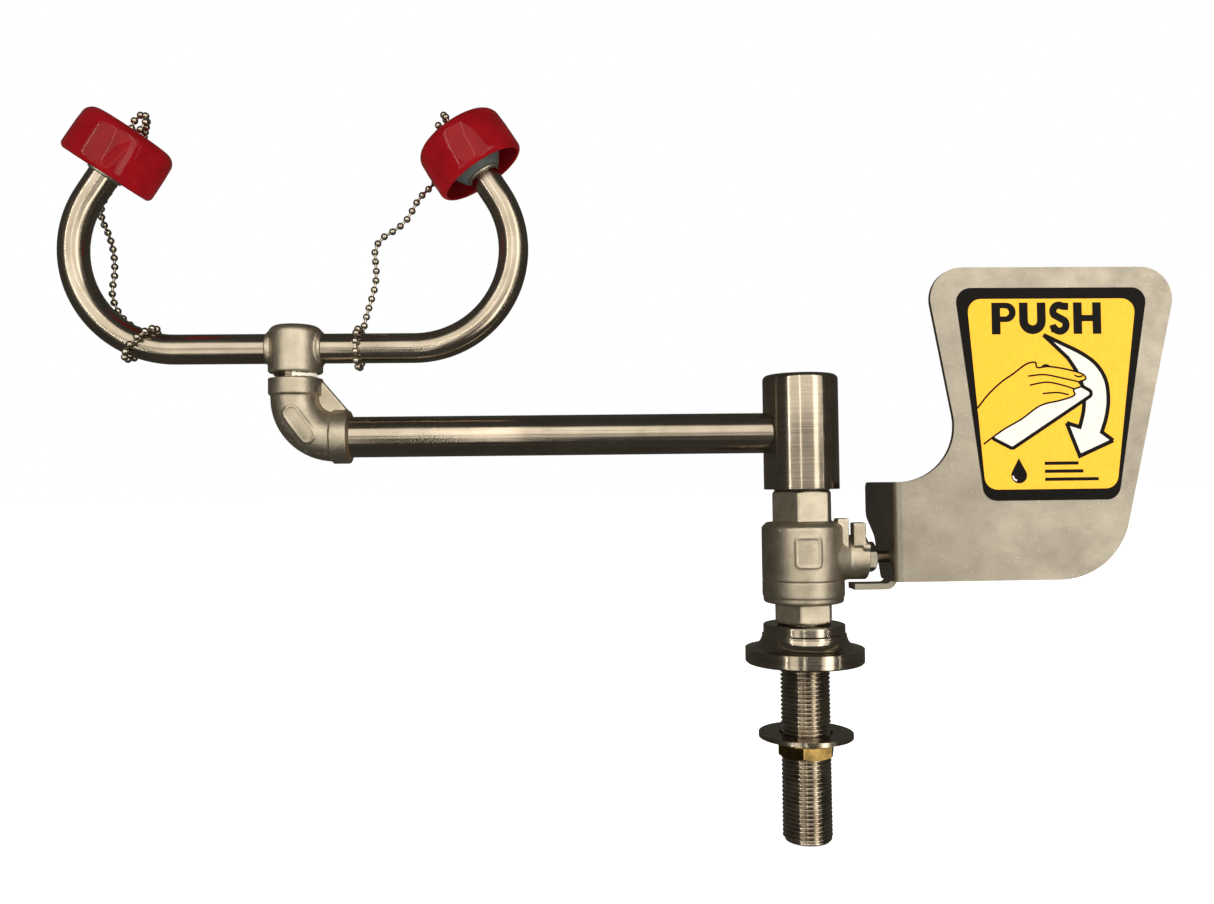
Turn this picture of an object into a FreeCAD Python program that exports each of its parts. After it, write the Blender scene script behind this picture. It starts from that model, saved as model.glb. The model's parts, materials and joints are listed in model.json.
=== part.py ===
"""Bench-mounted swivel-arm emergency eyewash, as separate pieces in one frame.

Millimetres, +Z up.  The origin is on the shank's axis, at the deck flange's underside, so Z = 0 is the
bench top.  The arm reaches towards -X, the push paddle stands at +X, and the user stands at -Y.
"""
import FreeCAD
import Part
import Sketcher
import math
import os
from types import SimpleNamespace

Vector = FreeCAD.Vector
X, Y, Z = Vector(1, 0, 0), Vector(0, 1, 0), Vector(0, 0, 1)
doc = FreeCAD.newDocument("eyewash")

SIZES = {
    # clearances and edges
    "thread_clear": 0.1,         # male thread to female thread, drawn as plain cylinders
    "running_clear": 0.06,       # radial, where one piece turns in another
    "weld_clear": 0.05,          # tube in its welded socket
    "end_gap": 0.3,              # between a pipe's end and the bottom of its socket
    "edge_break": 0.6,           # chamfer on turned edges
    # mounting shank, 1/2 inch parallel pipe thread
    "shank_radius": 10.48,
    "shank_bore": 7.6,
    "shank_length": 74.5,
    "stub_radius": 9.3,
    "relief_below": 0.4,         # thread relief, hidden by the back nut
    "relief_length": 3.4,
    # deck flange
    "flange_radius": 25.0,
    "flange_edge": 6.1,
    "flange_waist": 17.8,
    "flange_waist_rise": 7.3,
    "flange_flare": 5.5,
    "collar_radius": 17.2,
    "collar_thick": 3.6,
    "flange_height": 16.2,
    # backing washer and back nut, under the bench
    "washer_drop": 29.6,
    "washer_radius": 19.85,
    "washer_thick": 1.8,
    "washer_clear": 0.7,
    "nut_rim_radius": 13.9,
    "nut_rim_thick": 2.0,
    "nut_flats": 22.0,
    "nut_thick": 7.8,
    # ball valve, standing on the shank
    "valve_gap": 0.6,
    "low_hex_height": 8.5,
    "low_hex_flats": 22.8,
    "low_hex_turn": 12.4,
    "ring_radius": 16.9,
    "ring_thick": 3.0,
    "body_radius": 17.3,
    "band_height": 6.6,
    "body_height": 24.4,
    "body_crown": 15.2,
    "top_hex_height": 13.3,
    "top_hex_flats": 23.4,
    "top_hex_turn": -49.5,
    "stem_height": 44.0,
    "ball_radius": 9.5,
    "ball_clear": 1.8,
    "plug_clear": 3.5,
    "port_radius": 5.0,
    "seat_margin": 0.9,
    "seat_depth": 4.8,
    "seal_thick": 0.5,
    "seal_width": 1.6,
    "socket_depth": 12.5,
    "ball_slot_width": 3.2,
    "ball_slot_depth": 2.2,
    # neck, packing and stem
    "neck_radius": 9.5,
    "neck_reach": 26.6,
    "neck_root_radius": 13.6,
    "neck_root_reach": 18.5,
    "stem_radius": 3.8,
    "stem_collar": 4.4,
    "stem_gap": 0.1,
    "stem_collar_thick": 1.9,
    "thrust_thick": 0.9,
    "stem_thread": 3.0,
    "stem_thread_start": 4.5,
    "stem_flats": 4.6,
    "stem_reach": 46.0,
    "packing_radius": 5.2,
    "packing_start": 16.0,
    "packing_length": 4.0,
    "gland_flats": 11.4,
    "gland_thick": 3.8,
    "lug_height": 16.8,
    "lug_root": 5.0,
    "lug_front": 9.0,
    "inner_lug_place": 13.0,
    "inner_lug_width": 4.6,
    "inner_lug_depth": 7.0,
    "outer_lug_back": 7.0,
    "outer_lug_width": 5.2,
    "outer_lug_depth": 6.0,
    "outer_lug_drop": 1.8,
    "nub_radius": 1.9,
    "nub_length": 3.0,
    "nub_inset": 1.3,            # the nub's axis, behind the neck's front
    "nub_drop": 0.2,
    # push paddle
    "sheet": 2.5,
    "leg_place": 36.0,
    "plate_front": 11.8,
    "bend_radius": 3.4,
    "paddle_bottom": 34.1,
    "paddle_top": 165.8,
    "leg_top": 75.8,
    "leg_back": 29.5,
    "leg_front": 6.5,
    "leg_foot": 8.5,
    "leg_curve": 17.0,
    "tab_front": 4.0,
    "washer_gap": 1.0,
    "paddle_left": 50.5,
    "paddle_waist": 66.8,
    "paddle_right": 160.5,
    "paddle_low_right": 130.4,
    "corner_radius": 13.5,
    "palm_radius": 30.7,
    "waist_radius": 23.5,
    "tab_reach": 20.5,
    "tab_bottom": 30.6,
    "tab_width": 10.0,
    "handle_nut_flats": 10.0,
    "handle_nut_thick": 4.5,
    "label_thick": 0.25,
    "label_top": 157.0,
    "label_bottom": 67.4,
    "label_left": 63.4,
    "label_right": 146.4,
    "label_low_left": 74.5,
    "label_low_right": 131.7,
    "label_corner": 6.0,
    # swivel
    "barrel_radius": 15.93,
    "barrel_height": 48.8,
    "barrel_gap": 0.6,
    "spindle_radius": 9.0,
    "spindle_bore": 5.8,
    "spindle_washer_clear": 0.6,
    "cross_hole": 3.6,
    "water_half": 8.0,
    "chamber_clear": 2.93,
    "barrel_top_wall": 3.5,
    "clip_place": 112.9,
    "clip_thick": 1.2,
    "o_ring_section": 1.1,
    # arm
    "arm_height": 97.35,
    "arm_radius": 8.575,
    "arm_bore": 6.9,
    "reach": 213.6,
    # cast elbow
    "elbow_bend": 16.5,
    "elbow_radius": 10.2,
    "elbow_bore": 7.0,
    "band_radius": 11.15,
    "elbow_rise": 24.8,
    "elbow_run": 22.8,
    "elbow_band": 6.9,
    "web_thick": 3.6,
    "nipple_radius": 8.9,
    # yoke
    "tee_gap": 2.2,
    "tee_height": 20.1,
    "tee_radius": 11.2,
    "tee_crown": 4.0,
    "yoke_height": 134.8,
    "yoke_radius": 6.3,
    "yoke_bore": 5.0,
    "yoke_half": 49.7,
    "yoke_bend": 42.1,
    "head_tilt": 33.1,
    "tube_hold": 1.4,            # length of tube in the spray cup's neck
    "tube_socket": 8.5,
    # spray head
    "cup_start": 11.2,
    "cup_radius": 17.7,
    "cup_throat": 11.4,
    "cup_rise": 9.5,             # from the cup's foot to its full radius
    "cup_wall": 1.3,
    "cup_top": 28.6,
    "plate_thick": 1.4,
    "plate_recess": 0.8,
    "jet_radius": 0.9,
    "jet_ring": 11.0,
    "screen_thick": 0.8,
    "screen_gap": 2.5,
    # dust cap
    "cap_start": 10.6,
    "cap_clear": 1.1,
    "cap_head_gap": 2.8,
    "cap_wall": 1.4,
    "cap_crown": 5.0,
    # ball chain
    "chain_radius": 1.55,
    "cap_ring_radius": 4.3,
    "cap_ring_rise": 3.7,
    "right_ring_slack": 0.35,
    "left_ring_slack": 0.85,
    "right_ring_place": 26.4,
    "left_ring_place": 63.8,
    "left_ring_rise": 2.5,
}


class Size:
    """A number together with the sheet expression that gives it."""

    def __init__(self, value, text):
        self.value = float(value)
        self.text = text

    def __add__(self, other):
        other = as_size(other)
        return Size(self.value + other.value, "(%s + %s)" % (self.text, other.text))

    def __sub__(self, other):
        other = as_size(other)
        return Size(self.value - other.value, "(%s - %s)" % (self.text, other.text))

    def __mul__(self, other):
        other = as_size(other)
        return Size(self.value * other.value, "(%s * %s)" % (self.text, other.text))

    def __truediv__(self, other):
        other = as_size(other)
        return Size(self.value / other.value, "(%s / %s)" % (self.text, other.text))

    def __radd__(self, other):
        return as_size(other) + self

    def __rsub__(self, other):
        return as_size(other) - self

    def __rmul__(self, other):
        return as_size(other) * self

    def __neg__(self):
        return Size(0, "0") - self


def as_size(item):
    return item if isinstance(item, Size) else Size(item, "(%.6f)" % item)


def sine(angle):
    return Size(math.sin(math.radians(angle.value)), "sin(%s * 1 deg)" % angle.text)


def cosine(angle):
    return Size(math.cos(math.radians(angle.value)), "cos(%s * 1 deg)" % angle.text)


def make_sheet():
    """The driving dimensions, one row each, with the name as alias."""
    sheet = doc.addObject("Spreadsheet::Sheet", "Sizes")
    for row, (name, value) in enumerate(SIZES.items(), start=1):
        sheet.set("A%d" % row, name)
        sheet.set("B%d" % row, repr(value))
        sheet.setAlias("B%d" % row, name)
    doc.recompute()
    return SimpleNamespace(**{name: Size(sheet.get(name), "Sizes." + name) for name in SIZES})


s = make_sheet()

# heights and places that several pieces share
valve_base = s.flange_height + s.valve_gap
ring_low = valve_base + s.low_hex_height
band_low = ring_low + s.ring_thick
parting = band_low + s.band_height
body_top = parting + s.body_height
hex_top = body_top + s.top_hex_height
barrel_low = hex_top + s.barrel_gap
barrel_top = barrel_low + s.barrel_height
elbow_top = s.arm_height + s.elbow_rise
tee_low = elbow_top + s.tee_gap
tee_top = tee_low + s.tee_height
washer_top = -s.washer_drop
nut_top = washer_top - s.washer_thick
nut_low = nut_top - s.nut_thick
sheet_back = s.leg_place + s.sheet
plate_back = s.plate_front - s.sheet
cap_radius = s.cup_radius + s.cap_clear + s.cap_wall
cap_top = s.cup_top + s.cap_head_gap + s.cap_wall
plate_top = s.cup_top - s.plate_recess
tee_socket_top = s.yoke_height - s.yoke_radius - s.thread_clear
washer_face = sheet_back + s.thread_clear
nut_face = washer_face + s.washer_gap
plug_radius = s.ball_radius + s.plug_clear
cavity_radius = s.ball_radius + s.ball_clear
seat_radius = s.ball_radius - s.seat_margin
seat_reach = s.ball_radius + s.seat_margin
stem_start = s.ball_radius + s.stem_gap
chamber_radius = s.spindle_radius + s.chamber_clear


def bind(item, **values):
    """Bind properties to the sheet; a double underscore stands for a dot."""
    for name, value in values.items():
        item.setExpression(name.replace("__", "."), as_size(value).text)


def place(item, at, rotation=None):
    """Put an item at a bound place, turned by a fixed rotation."""
    x, y, z = (as_size(part) for part in at)
    item.Placement = FreeCAD.Placement(Vector(x.value, y.value, z.value), rotation or FreeCAD.Rotation())
    bind(item, Placement__Base__x=x, Placement__Base__y=y, Placement__Base__z=z)
    return item


ALONG = {
    "Z": FreeCAD.Rotation(),
    "X": FreeCAD.Rotation(Y, 90),
    "-X": FreeCAD.Rotation(Y, -90),
    "Y": FreeCAD.Rotation(X, -90),
}


def cylinder(name, radius, height, at=(0, 0, 0), along="Z"):
    item = doc.addObject("Part::Cylinder", name)
    bind(item, Radius=radius, Height=height)
    return place(item, at, ALONG[along])


def cone(name, radius_low, radius_high, height, at=(0, 0, 0), along="Z"):
    item = doc.addObject("Part::Cone", name)
    bind(item, Radius1=radius_low, Radius2=radius_high, Height=height)
    return place(item, at, ALONG[along])


def hexagon(name, flats, height, at, along="Z", turn=0.0):
    """A hexagonal prism by its width across the flats."""
    item = doc.addObject("Part::Prism", name)
    item.Polygon = 6
    bind(item, Circumradius=flats / (2 * math.cos(math.pi / 6)), Height=height)
    return place(item, at, ALONG[along] * FreeCAD.Rotation(Z, turn))


def box(name, sides, at):
    item = doc.addObject("Part::Box", name)
    bind(item, Length=sides[0], Width=sides[1], Height=sides[2])
    return place(item, at)


def torus(name, bend, radius, sweep, at, rotation):
    item = doc.addObject("Part::Torus", name)
    item.Angle1 = -180
    item.Angle2 = 180
    bind(item, Radius1=bend, Radius2=radius, Angle3=sweep)
    return place(item, at, rotation)


def join(name, pieces):
    item = doc.addObject("Part::MultiFuse", name)
    item.Shapes = pieces
    return item


def overlap(name, pieces):
    item = doc.addObject("Part::MultiCommon", name)
    item.Shapes = pieces
    return item


def cut(name, whole, tools):
    item = doc.addObject("Part::Cut", name)
    item.Base = whole
    item.Tool = tools[0] if len(tools) == 1 else join(name + "_tools", tools)
    return item


def origin_plane(body, role):
    return next(plane for plane in body.Origin.OriginFeatures if plane.Role == role)


def draw_outline(sketch, corners):
    """Draw a closed outline: straight sides between corners, some of them rounded by a radius.

    A sharp corner is a vertex with both coordinates set.  A rounded one is a fixed construction point that
    both sides run through, with an arc tangent to both.
    """
    count = len(corners)
    spots = [Vector(as_size(c[0]).value, as_size(c[1]).value, 0) for c in corners]
    radii = [as_size(c[2]) if len(c) > 2 else None for c in corners]
    arcs, before, after = [], [], []
    for i in range(count):
        towards_last = (spots[i - 1] - spots[i]).normalize()
        towards_next = (spots[(i + 1) % count] - spots[i]).normalize()
        if radii[i] is None:
            before.append(spots[i])
            after.append(spots[i])
            arcs.append(None)
            continue
        half = towards_last.getAngle(towards_next) / 2
        setback = radii[i].value / math.tan(half)
        first = spots[i] + towards_last * setback
        last = spots[i] + towards_next * setback
        middle = (towards_last + towards_next).normalize()
        centre = spots[i] + middle * (radii[i].value / math.sin(half))
        before.append(first)
        after.append(last)
        left_turn = towards_last.cross(towards_next).z < 0
        arcs.append((centre, first, last, left_turn))
    sides = [sketch.addGeometry(Part.LineSegment(after[i], before[(i + 1) % count]), False)
             for i in range(count)]

    def fix(geometry, point, corner):
        for kind, value in zip(("DistanceX", "DistanceY"), corner[:2]):
            value = as_size(value)
            number = sketch.addConstraint(Sketcher.Constraint(kind, geometry, point, value.value))
            sketch.setExpression("Constraints[%d]" % number, value.text)

    for i in range(count):
        came, goes = sides[i - 1], sides[i]
        if arcs[i] is None:
            sketch.addConstraint(Sketcher.Constraint("Coincident", came, 2, goes, 1))
            fix(goes, 1, corners[i])
            continue
        centre, first, last, left_turn = arcs[i]
        start, end = (first, last) if left_turn else (last, first)
        angles = [math.atan2(spot.y - centre.y, spot.x - centre.x) for spot in (start, end)]
        circle = Part.Circle(centre, Z, radii[i].value)
        arc = sketch.addGeometry(Part.ArcOfCircle(circle, angles[0], angles[1]), False)
        point = sketch.addGeometry(Part.Point(spots[i]), True)
        fix(point, 1, corners[i])
        for side in (came, goes):
            sketch.addConstraint(Sketcher.Constraint("PointOnObject", point, 1, side))
        ends = (1, 2) if left_turn else (2, 1)
        sketch.addConstraint(Sketcher.Constraint("Tangent", came, 2, arc, ends[0]))
        sketch.addConstraint(Sketcher.Constraint("Tangent", arc, ends[1], goes, 1))
        number = sketch.addConstraint(Sketcher.Constraint("Radius", arc, radii[i].value))
        sketch.setExpression("Constraints[%d]" % number, radii[i].text)


def new_sketch(body, name, role, offset=0):
    """A sketch on one of the body's origin planes, moved along the plane's normal."""
    sketch = body.newObject("Sketcher::SketchObject", name)
    sketch.AttachmentSupport = [(origin_plane(body, role), "")]
    sketch.MapMode = "FlatFace"
    bind(sketch, AttachmentOffset__Base__z=offset)
    return sketch


def turned(name, corners, at=(0, 0, 0), rotation=None):
    """A body of revolution about its own Z, from an outline of (radius, height) corners."""
    body = doc.addObject("PartDesign::Body", name)
    sketch = new_sketch(body, name + "_profile", "XZ_Plane")
    draw_outline(sketch, corners)
    turning = body.newObject("PartDesign::Revolution", name + "_turning")
    turning.Profile = sketch
    turning.ReferenceAxis = (sketch, ["V_Axis"])
    turning.Angle = 360
    return place(body, at, rotation)


def add_pad(body, name, role, corners, offset, length):
    """Pad an outline along its plane's normal: XY gives +Z, XZ gives -Y, YZ gives +X."""
    sketch = new_sketch(body, name + "_outline", role, offset)
    draw_outline(sketch, corners)
    pad = body.newObject("PartDesign::Pad", name)
    pad.Profile = sketch
    bind(pad, Length=length)
    return pad


def ring(name, inner, outer, low, high, at=(0, 0, 0), rotation=None):
    return turned(name, [(inner, low), (outer, low), (outer, high), (inner, high)], at, rotation)


# ---------------------------------------------------------------- fixed base

def mounting_shank():
    """Thread crest as a plain cylinder; a relief behind the back nut marks off the free end for the hose."""
    low = -s.shank_length
    relief = nut_low - s.relief_below
    return turned("mounting_shank", [
        (s.shank_bore, low), (s.shank_radius - s.edge_break, low), (s.shank_radius, low + s.edge_break),
        (s.shank_radius, relief), (s.stub_radius, relief), (s.stub_radius, relief + s.relief_length),
        (s.shank_radius, relief + s.relief_length), (s.shank_radius, valve_base), (s.stub_radius, valve_base),
        (s.stub_radius, valve_base + s.socket_depth - 1), (s.shank_bore, valve_base + s.socket_depth - 1)])


def deck_flange():
    bore = s.shank_radius + s.thread_clear
    collar_low = s.flange_height - s.collar_thick
    return turned("deck_flange", [
        (bore, 0), (s.flange_radius - s.edge_break, 0), (s.flange_radius, s.edge_break),
        (s.flange_radius, s.flange_edge), (s.flange_waist, s.flange_waist_rise, s.flange_flare),
        (s.flange_waist, collar_low - s.edge_break), (s.collar_radius, collar_low),
        (s.collar_radius, s.flange_height, s.edge_break), (bore, s.flange_height)])


def backing_washer():
    return ring("backing_washer", s.shank_radius + s.washer_clear, s.washer_radius, nut_top, washer_top)


def back_nut():
    """Flanged hexagon nut, its lower corners turned off."""
    rim = cylinder("back_nut_rim", s.nut_rim_radius, s.nut_rim_thick, (0, 0, nut_top - s.nut_rim_thick))
    flats = hexagon("back_nut_flats", s.nut_flats, s.nut_thick, (0, 0, nut_low), turn=12.0)
    chamfer = turned("back_nut_chamfer", [
        (0, nut_low), (s.nut_flats / 2, nut_low), (s.nut_rim_radius, nut_low + 2),
        (s.nut_rim_radius, nut_top), (0, nut_top)])
    hole = cylinder("back_nut_hole", s.shank_radius + s.thread_clear, s.nut_thick + 2,
                    (0, 0, nut_low - 1))
    body = overlap("back_nut_body", [flats, chamfer])
    return cut("back_nut", join("back_nut_outside", [rim, body]), [hole])


def valve_end_piece():
    """Lower half of the valve: hexagon, ring and band outside; socket, port and seat pocket inside."""
    plug_top = s.stem_height - seat_reach + s.seat_depth
    flats = hexagon("end_hexagon", s.low_hex_flats, s.low_hex_height, (0, 0, valve_base),
                    turn=SIZES["low_hex_turn"])
    flats_limit = turned("end_hexagon_limit", [
        (0, valve_base), (s.low_hex_flats / 2, valve_base), (s.low_hex_flats * 0.6, valve_base + 1.2),
        (s.low_hex_flats * 0.6, ring_low), (0, ring_low)])
    band = turned("end_band", [
        (0, ring_low), (s.ring_radius, ring_low, 1.2), (s.ring_radius, band_low - 0.3),
        (s.body_radius, band_low), (s.body_radius, parting), (plug_radius, parting),
        (plug_radius, plug_top), (0, plug_top)])
    socket = s.stub_radius + s.thread_clear
    pocket = seat_radius + s.thread_clear
    inside = turned("end_inside", [
        (0, valve_base - 1), (socket, valve_base - 1), (socket, valve_base + s.socket_depth),
        (s.port_radius, valve_base + s.socket_depth), (s.port_radius, s.stem_height - seat_reach),
        (pocket, s.stem_height - seat_reach), (pocket, plug_top + 1), (0, plug_top + 1)])
    outside = join("end_outside", [overlap("end_flats", [flats, flats_limit]), band])
    return cut("valve_end_piece", outside, [inside])


def body_seal():
    low = s.stem_height - seat_reach + s.seat_depth
    return ring("body_seal", plug_radius - s.seal_width, plug_radius, low, low + s.seal_thick)


def valve_body():
    """Cast body: barrel, top hexagon, stem neck with two stop lugs, and the water way inside."""
    barrel = turned("body_barrel", [
        (0, parting), (s.body_radius, parting), (s.body_radius, body_top - 2, 1.5),
        (s.body_crown, body_top), (0, body_top)])
    flats = hexagon("body_hexagon", s.top_hex_flats, s.top_hex_height + 1, (0, 0, body_top - 1),
                    turn=SIZES["top_hex_turn"])
    flats_limit = turned("body_hexagon_limit", [
        (0, body_top - 1), (s.top_hex_flats * 0.6, body_top - 1), (s.top_hex_flats * 0.6, hex_top - 1.2),
        (s.top_hex_flats / 2, hex_top), (0, hex_top)])
    centre = (0, 0, s.stem_height)
    neck = cylinder("body_neck", s.neck_radius, s.neck_reach, centre, "X")
    root = cone("body_neck_root", s.neck_root_radius, s.neck_radius, s.neck_root_reach - 10,
                (10, 0, s.stem_height), "X")
    lug_base = s.stem_height + s.lug_root
    inner_lug = box("body_inner_lug", (s.inner_lug_width, s.inner_lug_depth, s.lug_height - s.lug_root),
                    (s.inner_lug_place, -s.lug_front, lug_base))
    outer_lug = box("body_outer_lug",
                    (s.outer_lug_width, s.outer_lug_depth, s.lug_height - s.lug_root - s.outer_lug_drop),
                    (s.neck_reach - s.outer_lug_back, -s.neck_radius, lug_base))
    nub = cylinder("body_nub", s.nub_radius, s.nub_length,
                   (s.neck_reach - s.nub_length, s.nub_inset - s.neck_radius, lug_base - s.nub_drop), "X")
    outside = join("body_outside", [
        barrel, overlap("body_flats", [flats, flats_limit]), neck, root, inner_lug, outer_lug, nub])
    plug = plug_radius + s.thread_clear
    plug_top = s.stem_height - seat_reach + s.seat_depth + s.seal_thick + s.thread_clear
    pocket = seat_radius + s.thread_clear
    pocket_low = s.stem_height + seat_reach - s.seat_depth
    pocket_top = s.stem_height + seat_reach
    socket = s.stub_radius + s.thread_clear
    inside = turned("body_inside", [
        (0, parting - 1), (plug, parting - 1), (plug, plug_top), (cavity_radius, plug_top),
        (cavity_radius, pocket_low), (pocket, pocket_low), (pocket, pocket_top), (s.port_radius, pocket_top),
        (s.port_radius, hex_top - s.socket_depth), (socket, hex_top - s.socket_depth),
        (socket, hex_top + 1), (0, hex_top + 1)])
    below = cylinder("body_below", s.body_radius + s.thread_clear, s.band_height * 2,
                     (0, 0, parting - s.band_height * 2))
    spot_face = cylinder("body_spot_face", s.packing_radius, stem_start, (3, 0, s.stem_height), "X")
    stem_way = cylinder("body_stem_way", s.stem_radius + s.running_clear, s.neck_reach, centre, "X")
    packing_way = cylinder("body_packing_way", s.packing_radius, s.neck_reach,
                           (s.packing_start, 0, s.stem_height), "X")
    return cut("valve_body", outside, [inside, below, spot_face, stem_way, packing_way])


def seat_ring(name, upwards):
    """A seat with a round face that the ball turns on; upwards is +1 above the ball and -1 below it."""
    far = s.stem_height + upwards * (seat_reach - s.thread_clear)
    near = s.stem_height + upwards * (seat_reach - s.seat_depth + s.thread_clear)
    low, high = (near, far) if upwards > 0 else (far, near)
    blank = ring(name + "_blank", s.port_radius, seat_radius, low, high)
    ball = doc.addObject("Part::Sphere", name + "_face")
    bind(ball, Radius=s.ball_radius + s.running_clear)
    place(ball, (0, 0, s.stem_height))
    return cut(name, blank, [ball])


def stem_packing():
    start = s.packing_start + s.thread_clear
    return ring("stem_packing", s.stem_radius + s.running_clear, s.packing_radius - s.thread_clear,
                start, start + s.packing_length - s.thread_clear, (0, 0, s.stem_height), ALONG["X"])


def gland_nut():
    start = s.packing_start + s.packing_length + s.thread_clear
    face = s.neck_reach + s.thread_clear
    sleeve = cylinder("gland_sleeve", s.packing_radius - s.thread_clear, face - start + 1,
                      (start, 0, s.stem_height), "X")
    head = hexagon("gland_head", s.gland_flats, s.gland_thick, (face, 0, s.stem_height), "X", 8.0)
    head_limit = turned("gland_limit", [
        (0, face), (s.gland_flats * 0.6, face), (s.gland_flats * 0.6, face + s.gland_thick - 0.8),
        (s.gland_flats / 2, face + s.gland_thick), (0, face + s.gland_thick)],
        (0, 0, s.stem_height), ALONG["X"])
    hole = cylinder("gland_hole", s.stem_radius + s.running_clear, s.stem_reach, (0, 0, s.stem_height), "X")
    flats = overlap("gland_flats", [head, head_limit])
    return cut("gland_nut", join("gland_outside", [sleeve, flats]), [hole])


def swivel_spindle():
    """Hollow post, screwed into the valve, with cross holes at the arm's height and ring grooves."""
    low = hex_top - s.socket_depth + 0.5
    top = s.clip_place + s.clip_thick + 1.6
    groove = s.spindle_radius - s.o_ring_section * 2
    clip_top = s.clip_place + s.clip_thick + 0.1
    water_top = s.arm_height + s.water_half
    corners = [(s.spindle_bore, low), (s.stub_radius, low), (s.stub_radius, hex_top),
               (s.spindle_radius, hex_top)]
    for middle in o_ring_places():
        half = s.o_ring_section + 0.1
        corners += [(s.spindle_radius, middle - half), (groove, middle - half),
                    (groove, middle + half), (s.spindle_radius, middle + half)]
    corners += [(s.spindle_radius, s.clip_place), (groove, s.clip_place),
                (groove, clip_top), (s.spindle_radius, clip_top), (s.spindle_radius, top), (0, top),
                (0, water_top), (s.spindle_bore, water_top)]
    post = turned("spindle_post", corners)
    outside = s.spindle_radius + 3
    across = [cylinder("spindle_hole_" + along, s.cross_hole, outside * 2, at, along)
              for along, at in (("X", (-outside, 0, s.arm_height)), ("Y", (0, -outside, s.arm_height)))]
    return cut("swivel_spindle", post, across)


def o_ring_places():
    return [s.arm_height - 13, s.arm_height + 12]


def swivel_o_rings():
    centre = s.spindle_radius - s.o_ring_section
    rings = [torus("swivel_o_ring_%d" % number, centre, s.o_ring_section, 360, (0, 0, middle), None)
             for number, middle in enumerate(o_ring_places(), start=1)]
    pair = doc.addObject("Part::Compound", "swivel_o_rings")
    pair.Links = rings
    return pair


def swivel_clip():
    """Snap ring in the spindle's top groove, open at one side."""
    inner = s.spindle_radius - s.o_ring_section * 2 + 0.02
    whole = ring("clip_ring", inner, s.spindle_radius + 1.2, s.clip_place + 0.05, s.clip_place + s.clip_thick)
    slot = box("clip_slot", (12, 3, 3), (0, -1.5, s.clip_place - 1))
    return cut("swivel_clip", whole, [slot])


def swivel_washer():
    inner = s.spindle_radius + s.spindle_washer_clear
    return ring("swivel_washer", inner, s.top_hex_flats / 2, hex_top + 0.05, barrel_low - s.running_clear)


# ---------------------------------------------------------------- paddle, turning with the ball

def valve_ball():
    ball = doc.addObject("Part::Sphere", "ball_blank")
    bind(ball, Radius=s.ball_radius)
    place(ball, (0, 0, s.stem_height))
    port = cylinder("ball_port", s.port_radius, s.ball_radius * 2 + 2,
                    (0, -s.ball_radius - 1, s.stem_height), "Y")
    slot = box("ball_slot", (4, 9, s.ball_slot_width),
               (stem_start - s.ball_slot_depth, -4.5, s.stem_height - s.ball_slot_width / 2))
    return cut("valve_ball", ball, [port, slot])


def valve_stem():
    at = (0, 0, s.stem_height)
    thread_start = s.leg_place - s.stem_thread_start
    shaft = turned("stem_shaft", [
        (0, stem_start), (s.stem_collar, stem_start), (s.stem_collar, stem_start + s.stem_collar_thick),
        (s.stem_radius, stem_start + s.stem_collar_thick), (s.stem_radius, thread_start),
        (0, thread_start)], at, ALONG["X"])
    end = cylinder("stem_end_round", s.stem_thread, s.stem_reach - thread_start + 1,
                   (thread_start - 1, 0, s.stem_height), "X")
    flats = box("stem_end_flats", (s.stem_reach, 12, s.stem_flats), (0, -6, s.stem_height - s.stem_flats / 2))
    tang_width = s.ball_slot_width - 0.2
    tang = box("stem_tang", (s.ball_slot_depth, 7, tang_width),
               (stem_start - s.ball_slot_depth + 0.2, -3.5, s.stem_height - tang_width / 2))
    return join("valve_stem", [shaft, overlap("stem_end", [end, flats]), tang])


def stem_thrust_washer():
    start = stem_start + s.stem_collar_thick + 0.05
    return ring("stem_thrust_washer", s.stem_radius + 0.02, s.packing_radius - 0.3,
                start, start + s.thrust_thick, (0, 0, s.stem_height), ALONG["X"])


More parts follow.
